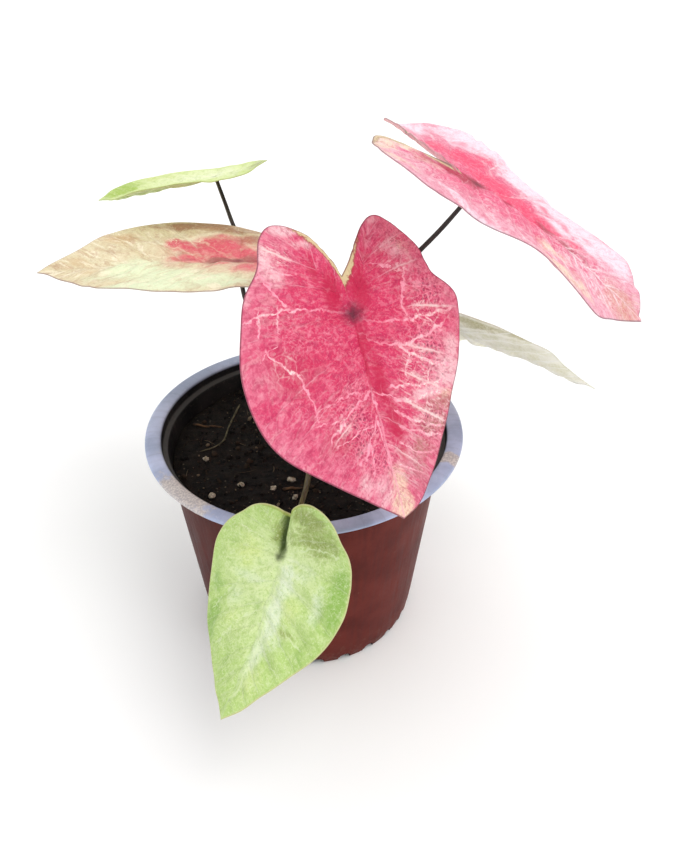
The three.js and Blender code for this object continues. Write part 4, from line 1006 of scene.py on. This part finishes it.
def build_petiole(name, leaf, material):
    """A slender stalk from the crown to the blade: it tapers, has faint lengthwise ribs
    and a groove, clasps the crown with a broader foot and swells where it meets the blade."""
    _, up, _ = leaf_axes(leaf)
    foot = np.array([*leaf["foot"], CROWN["top"] - 0.4])
    top = np.array(leaf["junction"], float) - 0.05 * up
    rows, sides, foot_radius, top_radius = 110, 24, 1.6, 0.9
    path, length = smooth_path([foot, foot + (0, 0, 3.7), *leaf["path"], top], rows)
    u, angle = np.linspace(0, 1, rows)[:, None], even_angles(sides)[None]
    flare = 0.55 * np.clip(1 - u * length / 12, 0, 1) ** 2
    radius = foot_radius + (top_radius - foot_radius) * u + flare + 0.5 * bell((1 - u) * length, 1.6)
    radius = radius * np.sqrt(np.clip(1 - u**160, 0.1, 1))
    ribs = 0.035 * np.cos(9 * angle + 2.5 * u) + 0.03 * lumps(u * length, angle * 3 + 0 * u, 2.6, 5)
    groove = -0.22 * bell(angle - np.pi, 0.4) * smooth(1 - u, 0.7, 1.0)
    reference = unit(np.cross([0, 0, 1.0], path[-1] - path[0]))
    rings = stalk(path, radius * (1 + ribs + groove), reference)
    # what would stand over the middle of the blade is pressed flat into it
    rings = rings - np.clip((rings - top) @ up, 0, None)[..., None] * up
    points, quads, triangles = closed_rings(rings)
    attributes = {"stalk": stalk_attribute(rows, sides, length, 1.3)}
    piece = make_piece("stalk_" + name, points, quads, triangles, material, attributes)
    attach(piece, "root")
    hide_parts("petiole_" + name)


def petiole_finish(name, dark, light, tip, roughness=0.42):
    """Waxy skin with fine lengthwise streaks, and short flecks and long bands of a lighter colour."""
    f = Finish(name, roughness=roughness, specular=0.25)
    streaks = f.stalk_mm(0.09)
    streak = f.noise(streaks, 0.55, 4.0, 0.6)
    blotch = f.noise(f.stalk_mm(0.3), 2.5, 3.0)
    f.colour = f.mix(f.step(f.sway(streak, blotch, 0.5), 0.38, 0.68), dark, light)
    fleck = f.step(f.noise(streaks, 0.3, 2.0), 0.66, 0.74)
    f.coat(tip, fleck, 0.5)
    f.coat(tip, f.step(f.noise(f.stalk_mm(0.02), 3.0, 1.0), 0.55, 0.8))
    rough = f.step(streak, 0.3, 0.7, roughness - 0.06, roughness + 0.12)
    return f.paint(rough, f.add(streak, f.times(fleck, 0.6)), 0.05)


# ------------------------------------------------------------------ potting mix

def soil_height(x, y):
    """The bed's even shape: a shallow dish with two slow waves."""
    swell = 0.7 * np.sin(0.11 * x + 1.3) * np.cos(0.09 * y - 0.4)
    return SOIL_LEVEL + 0.8 * (x * x + y * y) / 3800 + swell + 0.5 * np.sin(0.23 * x - 0.17 * y)


def soil_top(x, y):
    """The bed with its crumbs: four sizes of lumps, the smaller the shallower. It sinks a
    little where the crown stands and where the bed meets the wall."""
    relief = (0.55 * lumps(x, y, 9.0, 1) + 0.5 * lumps(x, y, 4.2, 2)
              + 0.42 * np.abs(lumps(x, y, 2.3, 3)) + 0.22 * lumps(x, y, 1.3, 4))
    crown = 1 - smooth(np.hypot(x - CROWN["x"], y - CROWN["y"]), 8.5, 13.5)
    edge = smooth(np.hypot(x, y), 58.5, 62.5)
    return soil_height(x, y) - 0.25 + relief * (1 - 0.5 * edge) - 0.9 * edge - 0.9 * crown


def wall_outer(height):
    """The pot's outer radius at a height above the foot."""
    rise = (height - POT["shoulder_height"]) / (POT["body_height"] - POT["shoulder_height"])
    return POT["shoulder"] + (POT["body_top"] - POT["shoulder"]) * rise


def build_soil(material):
    """A closed body: a flat floor, a wall that follows the pot's, and the crumbly top as a
    polar grid."""
    angle = even_angles(330)

    def ring(radius, height):
        return np.stack([radius * np.cos(angle), radius * np.sin(angle), height + 0 * angle], -1)

    def wall_ring(height, gap=SEAT):
        return ring(wall_outer(height) - POT["wall"] - gap, height)

    floor = POT["base"] + 0.4
    low = [ring(r, floor) for r in (12, 24, 36, 45.4)]
    low += [ring(48.0, floor + 1.6), wall_ring(12.5, 0.4)] + [wall_ring(z) for z in (30, 50, 70, 85)]
    radii = (wall_outer(93) - POT["wall"] - SEAT) * np.linspace(1, 0.012, 84)[:, None]
    x, y = radii * np.cos(angle), radii * np.sin(angle)
    top = np.stack([x, y, soil_top(x, y)], -1)
    points, quads, triangles = closed_rings(np.concatenate([np.stack(low), top]))
    piece = make_piece("potting_mix_bed", points, quads, triangles, material)
    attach(piece, "root")
    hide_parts("soil")


def ball(rows, columns):
    """Points and faces of a closed ball of radius 1: rings between two poles."""
    tilt, angle = (np.pi * np.arange(1, rows + 1) / (rows + 1))[:, None], even_angles(columns)
    ring = np.stack([np.sin(tilt) * np.cos(angle), np.sin(tilt) * np.sin(angle),
                     0 * angle - np.cos(tilt)], -1)
    points = np.concatenate([[[0, 0, -1]], ring.reshape(-1, 3), [[0, 0, 1]]])
    return points, *closed_faces(rows, columns)


def turns(count, random):
    """Random turns: the columns of each matrix come from a random quaternion of unit length."""
    w, x, y, z = unit(random.normal(size=(count, 4))).T
    return np.stack([
        np.stack([1 - 2 * (y * y + z * z), 2 * (x * y - z * w), 2 * (x * z + y * w)], -1),
        np.stack([2 * (x * y + z * w), 1 - 2 * (x * x + z * z), 2 * (y * z - x * w)], -1),
        np.stack([2 * (x * z - y * w), 2 * (y * z + x * w), 1 - 2 * (x * x + y * y)], -1),
    ], -2)


def build_crumbs(name, count, size, seed, material, shades, reach=61.0):
    """Many small rough lumps scattered evenly over the bed, each a ball squeezed three ways,
    roughened, turned at random and sunk by a third into the bed."""
    random = np.random.default_rng(seed)
    shape, quads, triangles = ball(3, 6)
    radius = reach * np.sqrt(random.uniform(0, 1, count))
    angle = random.uniform(0, 2 * np.pi, count)
    x, y = radius * np.cos(angle), radius * np.sin(angle)
    half = 0.5 * size[0] * (size[1] / size[0]) ** (random.uniform(0, 1, count) ** 2.2)
    squeeze = random.uniform(0.5, 1.15, (count, 3)) * half[:, None]
    body = shape[None] * squeeze[:, None] * random.uniform(0.78, 1.18, (count, len(shape), 1))
    body = np.einsum("nij,nkj->nki", turns(count, random), body)
    centre = np.stack([x, y, soil_top(x, y) + 0.25 * half], -1)
    shade = random.choice(len(shades), count, p=np.array(shades) / sum(shades)) / (len(shades) - 1)
    values = np.stack([shade, random.uniform(0, 1, count), half], -1)
    piece = make_piece(name, (body + centre[:, None]).reshape(-1, 3), copies(quads, count, len(shape)),
                       copies(triangles, count, len(shape)), material,
                       {"crumb": np.repeat(values, len(shape), axis=0)})
    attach(piece, "root")


def build_fibres(count, seed, material):
    """Short peat fibres lying on the bed: thin tubes of four sides along gentle arcs."""
    random = np.random.default_rng(seed)
    rows, sides, reach = 7, 4, 58
    radius = reach * np.sqrt(random.uniform(0, 1, count))
    angle = random.uniform(0, 2 * np.pi, count)
    heading = random.uniform(0, 2 * np.pi, count)[:, None]
    bend = random.uniform(-0.12, 0.12, count)[:, None]
    length = random.uniform(3, 11, count)[:, None]
    run = np.linspace(-0.5, 0.5, rows)[None] * length
    x = (radius * np.cos(angle))[:, None] + run * np.cos(heading) - bend * run**2 * np.sin(heading)
    y = (radius * np.sin(angle))[:, None] + run * np.sin(heading) + bend * run**2 * np.cos(heading)
    thin = random.uniform(0.1, 0.22, count)[:, None] * (1 - np.abs(np.linspace(-0.8, 0.8, rows))[None] ** 3)
    z = soil_top(x, y) + 0.12 + random.uniform(0, 0.5, (count, 1)) * (1 - (2 * run / length) ** 2)
    path = np.stack([x, y, z], -1)
    tangent = unit(np.gradient(path, axis=1))
    first = unit(np.cross([0, 0, 1.0], tangent))
    second = np.cross(tangent, first)
    around = even_angles(sides)[:, None]
    rings = path[:, :, None] + thin[:, :, None, None] * (
        first[:, :, None] * np.cos(around) + second[:, :, None] * np.sin(around))
    points = np.concatenate([path[:, :1], rings.reshape(count, -1, 3), path[:, -1:]], 1)
    quads, triangles = (copies(faces, count, rows * sides + 2) for faces in closed_faces(rows, sides))
    shade = np.repeat(random.uniform(0, 1, (count, 3)), rows * sides + 2, axis=0)
    piece = make_piece("peat_fibres", points.reshape(-1, 3), quads, triangles, material, {"crumb": shade})
    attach(piece, "root")


def build_grain(index, place, size, turn, material):
    """A perlite grain: a ball of many rings, pitted by sines in random directions."""
    random = np.random.default_rng(300 + index)
    shape, quads, triangles = ball(22, 32)
    count = 14
    waves = random.normal(size=(count, 3)) * np.linspace(1.6, 9, count)[:, None]
    phases, depths = random.uniform(0, 6.28, count), np.linspace(0.09, 0.02, count)
    dents = (np.sin(shape @ waves.T + phases) * depths).sum(1)
    c, w = math.cos(math.radians(turn)), math.sin(math.radians(turn))
    body = shape * (1 + dents)[:, None] * np.array(size) * 0.5
    body = body @ np.array([[c, w, 0], [-w, c, 0], [0, 0, 1]])
    centre = np.array([*place, float(soil_top(*place)) + 0.3 * size[2]])
    piece = make_piece(f"perlite_{index}", body + centre, quads, triangles, material)
    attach(piece, "root")
    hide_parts(f"perlite_grain_{index}")


def build_litter(name, node, plan, radius, flatness, material, lift):
    """A thin dry piece that lies on the bed along a path in plan, thinner to one end and
    knobbly."""
    rows, sides = 70, 10
    path, length = smooth_path([(x, y, 0) for x, y in plan], rows)
    ground = soil_top(path[:, 0], path[:, 1])
    soft = np.convolve(np.pad(ground, 5, mode="edge"), np.ones(11) / 11, "valid")
    path[:, 2] = np.maximum(soft, ground) + radius * lift
    u, angle = np.linspace(0, 1, rows)[:, None], even_angles(sides)[None]
    knobs = 1 + 0.16 * lumps(u * length, angle * 2.2, 1.4, 61) + 0.12 * lumps(u * length, 0 * angle, 4.0, 62)
    ends = np.sqrt(np.clip(1 - (2 * u - 1) ** 14, 0.05, 1))
    rings = stalk(path, radius * (1 - 0.35 * u) * knobs * ends, np.array([0, 0, 1.0]))
    rings[..., 2] = path[:, None, 2] + (rings[..., 2] - path[:, None, 2]) * flatness
    points, quads, triangles = closed_rings(rings)
    attributes = {"stalk": stalk_attribute(rows, sides, length, radius)}
    piece = make_piece(name, points, quads, triangles, material, attributes)
    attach(piece, "root")
    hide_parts(node)


def build_crown(material):
    """The tuber: a squat turned body whose flat crown has rings of old leaf scars, with
    a skin roughened by lumps."""
    top, depth = CROWN["top"], 24.0
    bottom = top - depth
    profile = np.array([(0.4, bottom + 0.1), (9, bottom + 1), (15, bottom + 6), (17, bottom + 13),
                        (15.2, bottom + 18), (12.4, top - 2.2), (11.4, top - 0.9), (10.2, top - 0.15),
                        (8.6, top), (5, top + 0.05), (1.5, top)])
    place = np.concatenate([[0], np.cumsum(np.linalg.norm(np.diff(profile, axis=0), axis=1))])
    even = np.linspace(0, place[-1], 70)
    r, z = (np.interp(even, place, profile[:, k])[:, None] for k in (0, 1))
    angle = even_angles(96)[None]
    x, y = r * np.cos(angle), r * np.sin(angle)
    rough = 0.35 * lumps(x, y + z, 3.0, 71) + 0.2 * lumps(x + z, y, 1.5, 72)
    scars = -0.25 * np.cos(2.6 * r) ** 8 * smooth(z, top - 1, top)
    height = z + (rough - 0.2 + scars) * smooth(r, 0.5, 3)
    points, quads, triangles = closed_rings(np.stack([
        CROWN["x"] + x * (1 + 0.012 * rough), CROWN["y"] + y * (1 + 0.012 * rough), height], -1))
    piece = make_piece("tuber_body", points, quads, triangles, material)
    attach(piece, "root")
    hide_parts("tuber")


# --------------------------------------------------------------------------- pot

def arc(centre, radius, start, end, count):
    """Points on part of a circle, in radius and height."""
    angle = np.radians(np.linspace(start, end, count))
    return [(centre[0] + radius * math.cos(a), centre[1] + radius * math.sin(a)) for a in angle]


def pot_profile():
    """The pot's section in radius and height: the outer side from the middle of the base
    up to the collar, the collar and rolled lip, and the inner side back down, which is
    the outer side moved in along its normals. Also the outer side alone."""
    foot = [(r, 0.0) for r in (6, 14, 22, 30, 37, 43, SLOTS["inner"], 48.6, 50.0)]
    foot += arc((50.7, 0.9), 0.9, -80, -8, 5)
    foot += [(51.8, 1.6), (52.15, 2.6), (52.6, SLOTS["top"]), (52.95, 5.0), (53.3, 6.3), (53.55, 7.7),
             (53.8, 9.2), (54.05, 10.8), (54.25, 12.3), (54.5, 13.8), (54.75, 16.0)]
    outer = np.array(foot + [(wall_outer(z), z) for z in np.linspace(19, 100.5, 24)])
    step = unit(np.gradient(outer, axis=0))
    inwards = np.stack([-step[:, 1], step[:, 0]], -1)
    thick = np.interp(outer[:, 1], [0, SLOTS["top"]], [POT["base"], POT["wall"]])
    inner = outer + inwards * thick[:, None]
    # up the collar, out under the rim and round its roll by heights above the underside,
    # then in over the top and down inside to the ledge by depths below the top
    collar = [(65.45, 100.95), (66.3, 101.35), (67.4, 101.55), (68.0, 101.9), (68.3, 102.6),
              (68.5, 103.8), (68.65, 104.8)]
    under = [(69.3, 0), (71.0, 0), (72.6, 0), (73.7, 0.05), (74.35, 0.3), (74.8, 0.75), (POT["rim"], 1.25),
             (74.9, 1.75), (74.45, 2.2), (73.6, 2.5), (72.5, 2.68)]
    over = [(71.2, 0), (69.9, 0.02), (68.9, 0.15), (68.1, 0.45), (67.6, 0.95), (POT["lip_inner"], 1.6),
            (67.2, 3.0), (67.0, 4.6), (66.6, 5.05), (65.6, 5.2), (64.75, 5.35), (64.45, 5.8)]
    roll = collar + [(r, POT["underside"] + z) for r, z in under] + [(r, POT["height"] - z) for r, z in over]
    below_ledge = inner[:, 1] < 101.6
    return np.concatenate([outer, np.array(roll), inner[below_ledge][::-1]]), outer


def build_pot(material):
    """A thin moulding turned about the axis. Cells of both its sides are left out at the
    foot for the drain slots, and each slot's rim joins the two sides. The lip is a little
    uneven."""
    profile, outer = pot_profile()
    wide, per_slot = SLOTS["open_columns"], SLOTS["columns"]
    rows, columns = len(profile), SLOTS["count"] * per_slot
    angle = SLOTS["first"] + (np.arange(columns) - wide / 2) * 360 / columns
    # how far a column lies from the middle of the nearest slot, as a share of its half width
    slot_turn = 360 / SLOTS["count"]
    off = (angle - SLOTS["first"] + slot_turn / 2) % slot_turn - slot_turn / 2
    across = np.abs(off) / (wide / 2 * 360 / columns)
    height = profile[:, 1:]
    arch = -1.5 * np.clip(across, 0, 1) ** 3 * smooth(-across, -2.2, -1.0)
    height = height + arch * smooth(height, 2.2, SLOTS["top"]) * (1 - smooth(height, 4.2, 9.5))
    turn = np.radians(angle)
    near_lip = smooth(profile[:, 1:], 100, 107)
    height = height + near_lip * (0.16 * np.sin(2 * turn + 0.6) + 0.1 * np.sin(5 * turn) - 0.26)
    radius = profile[:, :1] + near_lip * (0.14 * np.sin(3 * turn + 1.0) - 0.16)
    grid = np.stack([radius * np.cos(turn), radius * np.sin(turn), height], -1)

    low = int(np.argmin(np.abs(outer[:, 0] - SLOTS["inner"]) + outer[:, 1] * 9))
    high = int(np.argmin(np.abs(outer[:, 1] - SLOTS["top"])))
    index = 1 + np.arange(rows * columns).reshape(rows, columns)
    partner = index[::-1]
    quads, triangles = closed_faces(rows, columns)
    kept = np.ones((rows - 1, columns), bool)
    is_open = np.arange(columns) % per_slot < wide
    kept[low:high, is_open] = False
    kept[rows - 1 - high:rows - 1 - low, is_open] = False
    here = np.flatnonzero(is_open)
    beside = (here + 1) % columns
    first = np.arange(SLOTS["count"]) * per_slot
    walls = [quads.reshape(rows - 1, columns, 4)[kept]]
    # a slot's rim: below and above it from column to column, at its sides from row to row
    edges = [(low, low, beside, here), (high, high, here, beside)]
    for row in range(low, high):
        edges += [(row, row + 1, first, first), (row + 1, row, first + wide, first + wide)]
    for a, b, at_a, at_b in edges:
        walls.append(np.stack([index[a, at_a], index[b, at_b], partner[b, at_b], partner[a, at_a]], -1))
    quads = np.concatenate(walls)
    points = np.concatenate([[[0, 0, 0]], grid.reshape(-1, 3), [[0, 0, POT["base"]]]])

    # the lip starts about six rows past the outer side, and the inside about 22 rows past it
    place = np.arange(rows)[:, None] - len(outer)
    # where cream patches lie round the lip: partly dust and partly painted sunlight
    dust_and_painted_sun = np.zeros(columns)
    for centre, spread, strength in ((-136, 17, 1.0), (-163, 9, 0.4), (-20, 5, 0.9), (150, 24, 0.35)):
        dust_and_painted_sun = np.maximum(dust_and_painted_sun, strength * bell((angle - centre + 180) % 360 - 180, spread))
    zone = np.stack(np.broadcast_arrays(smooth(place, 5.5, 7.5), smooth(place, 21, 23), dust_and_painted_sun), -1)
    zone = np.concatenate([[[0, 0, 0]], zone.reshape(-1, 3), [[0, 1, 0]]])
    piece = make_piece("nursery_pot", points, quads, triangles, material, {"zone": zone})
    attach(piece, "root")
    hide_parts("pot")


def pot_finish():
    """Moulded plastic: a red-brown body with faint streaks from the mould, dusty near the foot and
    darkened towards its left side by painted shade; a blue-grey lip with scuffs and cream
    patches, partly dried lime and dust and partly painted sunlight; a black inside with a
    painted highlight along the ledge."""
    f = Finish("moulded pot plastic", roughness=0.5, specular=0.07)
    place = f.object_mm()
    x, y, z = f.split(place)
    lip, inside, dust_and_painted_sun = f.split(f.attribute("zone"))
    angle = f.math("ARCTAN2", y, x)
    streak = f.noise(f.join(f.times(angle, 60.0), f.times(z, 0.08)), 2.2, 4.0, 0.6)
    cloud = f.noise(place, 22.0, 4.0, 0.6)
    speck = f.noise(place, 0.9, 3.0, 0.65)

    f.colour = f.mix(f.step(f.sway(cloud, streak, 0.5), 0.3, 0.72), (82, 29, 25), (103, 42, 36))
    f.coat((126, 64, 54), f.step(speck, 0.58, 0.76), 0.25)
    splash = f.add(f.noise(place, 3.5, 4.0, 0.7), f.step(z, 0.0, 26.0, 0.16, 0.0))
    f.coat((108, 72, 60), f.step(splash, 0.62, 0.74), 0.35)
    # painted shade: the body darkens towards its left (-x) side, as if lit from the right, in broad noisy
    # patches
    painted_left_shade = f.add(f.noise(place, 30.0, 3.0), f.times(x, -0.006))
    f.coat((54, 24, 22), f.step(painted_left_shade, 0.5, 0.85), 0.55)
    body = f.colour

    f.colour = f.mix(f.step(cloud, 0.35, 0.66), (160, 170, 198), (190, 198, 226))
    f.coat((134, 140, 166), f.step(streak, 0.5, 0.74), 0.35)
    f.coat((208, 211, 222), f.step(speck, 0.6, 0.7), 0.4)
    # cream crust: partly dried lime and dust, partly painted sunlight on the lip
    crust_and_painted_sun = f.add(f.times(dust_and_painted_sun, 0.75), f.times(f.noise(place, 4.0, 5.0, 0.65), 0.8))
    crust_and_painted_sun = f.step(crust_and_painted_sun, 0.72, 0.98)
    f.coat(f.mix(f.step(speck, 0.42, 0.58), (176, 166, 160), (214, 204, 192)), crust_and_painted_sun, 0.8)
    grey = f.colour

    f.colour = f.mix(f.step(cloud, 0.35, 0.7), (20, 20, 22), (40, 38, 38))
    # painted highlight: a lighter grey line where light catches the ledge inside the pot
    f.coat((86, 84, 84), f.fall(f.away(f.add(z, -POT["ledge"])), 0.1, 0.7), 0.6)
    f.coat((84, 76, 66), f.step(f.noise(place, 1.6, 4.0, 0.7), 0.55, 0.7), 0.35)
    f.colour = f.mix(inside, f.mix(lip, body, grey), f.colour)

    scuff = f.step(f.noise(f.join(f.times(angle, 62.0), f.times(z, 0.5)), 1.1, 3.0), 0.62, 0.72)
    rough = f.step(f.add(streak, f.times(speck, 0.3)), 0.4, 0.9, 0.4, 0.56)
    height = f.add(f.times(speck, 0.5), f.times(streak, 0.6), f.times(crust_and_painted_sun, 0.8))
    return f.paint(f.add(rough, f.times(scuff, 0.12)), height, 0.06)


def soil_finish():
    """Damp peat: near-black crumbs, some browner, with a few rusty and pale fibres."""
    f = Finish("damp potting mix", roughness=0.9, specular=0.12)
    place = f.object_mm()
    coarse = f.noise(place, 4.5, 4.0, 0.65)
    fine = f.noise(place, 1.1, 5.0, 0.7)
    f.colour = f.mix(f.step(coarse, 0.35, 0.7), (12, 11, 12), (34, 28, 25))
    f.coat((54, 46, 42), f.step(fine, 0.52, 0.72), 0.7)
    rust = f.noise(f.shift(place, 1.5, 3.0), 2.2, 3.0, 0.6)
    f.coat((78, 54, 38), f.step(rust, 0.64, 0.72), 0.4)
    moss = f.noise(f.shift(place, 2.0, 5.0), 5.0, 3.0, 0.6)
    f.coat((34, 40, 34), f.step(moss, 0.58, 0.7), 0.35)
    f.coat((128, 118, 102), f.fall(f.cells(place, 3.4, "F1"), 0.1, 0.16), 0.3)
    return f.paint(f.step(fine, 0.4, 0.7, 0.72, 0.95), f.add(fine, f.times(coarse, 0.6)), 0.7)


def crumb_finish():
    """Bits of bark and peat: each has its own shade from black to tan, and a grainy skin."""
    f = Finish("bark and peat crumbs", roughness=0.88, specular=0.14)
    shade, hue, _ = f.split(f.attribute("crumb"))
    grain = f.noise(f.object_mm(), 0.7, 4.0, 0.7)
    f.colour = f.ramp(f.add(f.times(shade, 0.85), f.times(hue, 0.15)), (
        (0.0, (11, 10, 11)), (0.4, (28, 23, 21)), (0.72, (54, 42, 33)), (1.0, (120, 106, 88))))
    f.coat((66, 54, 44), f.step(grain, 0.5, 0.75), 0.35)
    return f.paint(f.step(grain, 0.3, 0.8, 0.75, 0.95), grain, 0.35)


def grain_finish():
    """Perlite: chalky white, pitted, stained tan in patches."""
    f = Finish("chalky perlite", roughness=0.85, specular=0.3)
    place = f.object_mm()
    pits = f.cells(place, 0.55, "F1")
    stain = f.noise(place, 1.4, 3.0, 0.6)
    f.colour = f.mix(f.step(stain, 0.35, 0.7), (192, 184, 168), (136, 120, 98))
    f.coat((120, 106, 86), f.fall(pits, 0.2, 0.5), 0.4)
    return f.paint(f.step(stain, 0.3, 0.7, 0.8, 0.95), f.step(pits, 0.1, 0.6), 0.16)


def litter_finish(name, dark, light):
    """Dry plant fibre, streaked along its length."""
    f = Finish(name, roughness=0.8, specular=0.3)
    streak = f.noise(f.stalk_mm(0.2), 0.45, 4.0, 0.65)
    blotch = f.noise(f.stalk_mm(0.6), 2.4, 2.0)
    f.colour = f.mix(f.step(f.sway(streak, blotch, 0.8), 0.35, 0.68), dark, light)
    return f.paint(f.step(streak, 0.3, 0.7, 0.7, 0.9), streak, 0.14)


def tuber_finish():
    """Papery brown skin in darker and lighter scales, with clinging peat."""
    f = Finish("papery tuber skin", roughness=0.8, specular=0.3)
    place = f.object_mm()
    scale = f.noise(place, 2.6, 4.0, 0.65, 0.5)
    fine = f.noise(place, 0.8, 4.0, 0.7)
    f.colour = f.mix(f.step(scale, 0.38, 0.66), (58, 42, 30), (112, 84, 56))
    f.coat((30, 23, 19), f.step(f.noise(place, 3.4, 4.0, 0.7), 0.5, 0.6))
    return f.paint(f.step(fine, 0.3, 0.7, 0.7, 0.92), f.add(scale, f.times(fine, 0.5)), 0.5)


# --------------------------------------------------------------- stage and light

def add_camera():
    """A camera 473 mm from a point above the pot's middle, looking down by 36 degrees."""
    elevation, roll, distance = math.radians(36), math.radians(-0.3), 473.0
    aim = Vector((17.0, 0.0, 108.5))
    back = Vector((0, -math.cos(elevation), math.sin(elevation)))
    up, right = Vector((0, math.sin(elevation), math.cos(elevation))), Vector((1, 0, 0))
    across = right * math.cos(roll) + up * math.sin(roll)
    above = up * math.cos(roll) - right * math.sin(roll)
    data = bpy.data.cameras.new("camera")
    data.lens = 42.35
    data.sensor_width = 36.0
    data.clip_start = 0.02
    data.clip_end = 60.0
    camera = bpy.data.objects.new("camera", data)
    columns = Matrix((across, above, back)).transposed()
    camera.matrix_world = Matrix.Translation((aim + back * distance) * MM) @ columns.to_4x4()
    bpy.context.scene.collection.objects.link(camera)
    bpy.context.scene.camera = camera


def add_light(name, kind, energy, place, aim, size, colour=(1, 1, 1)):
    """A lamp at a place in metres, turned to its aim. Size is a disk's width in metres or a
    sun's angle in degrees."""
    data = bpy.data.lights.new(name, kind)
    data.energy = energy
    data.color = colour
    if kind == "AREA":
        data.shape = "DISK"
        data.size = size
    else:
        data.angle = math.radians(size)
    lamp = bpy.data.objects.new(name, data)
    lamp.location = place
    lamp.rotation_euler = (Vector(aim) - Vector(place)).to_track_quat("-Z", "Y").to_euler()
    bpy.context.scene.collection.objects.link(lamp)


def build_stage():
    """A pale floor, an even pale sky, a broad key from the upper right and a soft fill."""
    f = Finish("pale floor", roughness=0.9, specular=0.1)
    f.colour = f.mix(f.times(f.noise(f.object_mm(), 60.0, 3.0), 0.25), (252, 252, 252), (246, 246, 247))
    side = 4000.0
    corners = np.array([(-side, -side, 0), (side, -side, 0), (side, side, 0), (-side, side, 0)])
    floor = make_piece("floor", corners, [[0, 1, 2, 3]], [], f.paint())
    world = bpy.data.worlds.new("studio")
    bpy.context.scene.world = world
    world.use_nodes = True
    sky = world.node_tree.nodes["Background"].inputs
    sky["Color"].default_value = (1.0, 1.0, 1.0, 1.0)
    sky["Strength"].default_value = 0.86
    add_light("key", "SUN", 1.1, (0.8, -0.6, 1.8), (0, 0, 0.1), 40, (1.0, 0.99, 0.97))
    add_light("fill", "AREA", 1.8, (-0.8, -0.9, 0.9), (0, 0, 0.12), 0.8, (0.95, 0.97, 1.0))
    add_light("back", "AREA", 1.8, (0.1, 1.0, 1.0), (0, 0, 0.15), 0.8)
    bpy.context.scene.view_settings.view_transform = "Standard"


# -------------------------------------------------------------------- everything

add_camera()
build_stage()
build_pot(pot_finish())
build_soil(soil_finish())
crumb = crumb_finish()
build_crumbs("crumbs_coarse", 420, (1.1, 4.0), 21, crumb, (5, 5, 3, 1))
build_crumbs("crumbs_fine", 1100, (0.5, 1.5), 22, crumb, (4, 5, 3, 1), reach=61.5)
build_fibres(110, 23, crumb)
build_crown(tuber_finish())

chalk = grain_finish()
for number, (place, size, turn) in enumerate(GRAINS, start=1):
    build_grain(number, place, size, turn, chalk)
dry = litter_finish("dry root", (58, 54, 40), (102, 96, 74))
bark = litter_finish("bark", (44, 30, 20), (104, 76, 50))
build_litter("dry_root", "dry_root_strand", ROOT_STRAND, 0.5, 0.9, dry, 0.9)
build_litter("bark_near", "bark_twig_near", TWIG_NEAR, 0.9, 0.7, bark, 0.6)
build_litter("bark_far", "bark_twig_far", TWIG_FAR, 0.7, 0.7, bark, 0.6)

stalks = {
    "petiole_dark": petiole_finish("dark petiole", (34, 30, 30), (66, 58, 54), (112, 100, 90)),
    "petiole_olive": petiole_finish("olive petiole", (70, 60, 36), (110, 100, 62), (150, 146, 98)),
}
for name, leaf in LEAVES.items():
    look = {**COMMON_LOOK, **LOOKS[name]}
    blade = build_blade(name, leaf, look, blade_finish(name, look))
    stalk_slot = "petiole_olive" if name == "front_green" else "petiole_dark"
    build_petiole(name, leaf, stalks[stalk_slot])
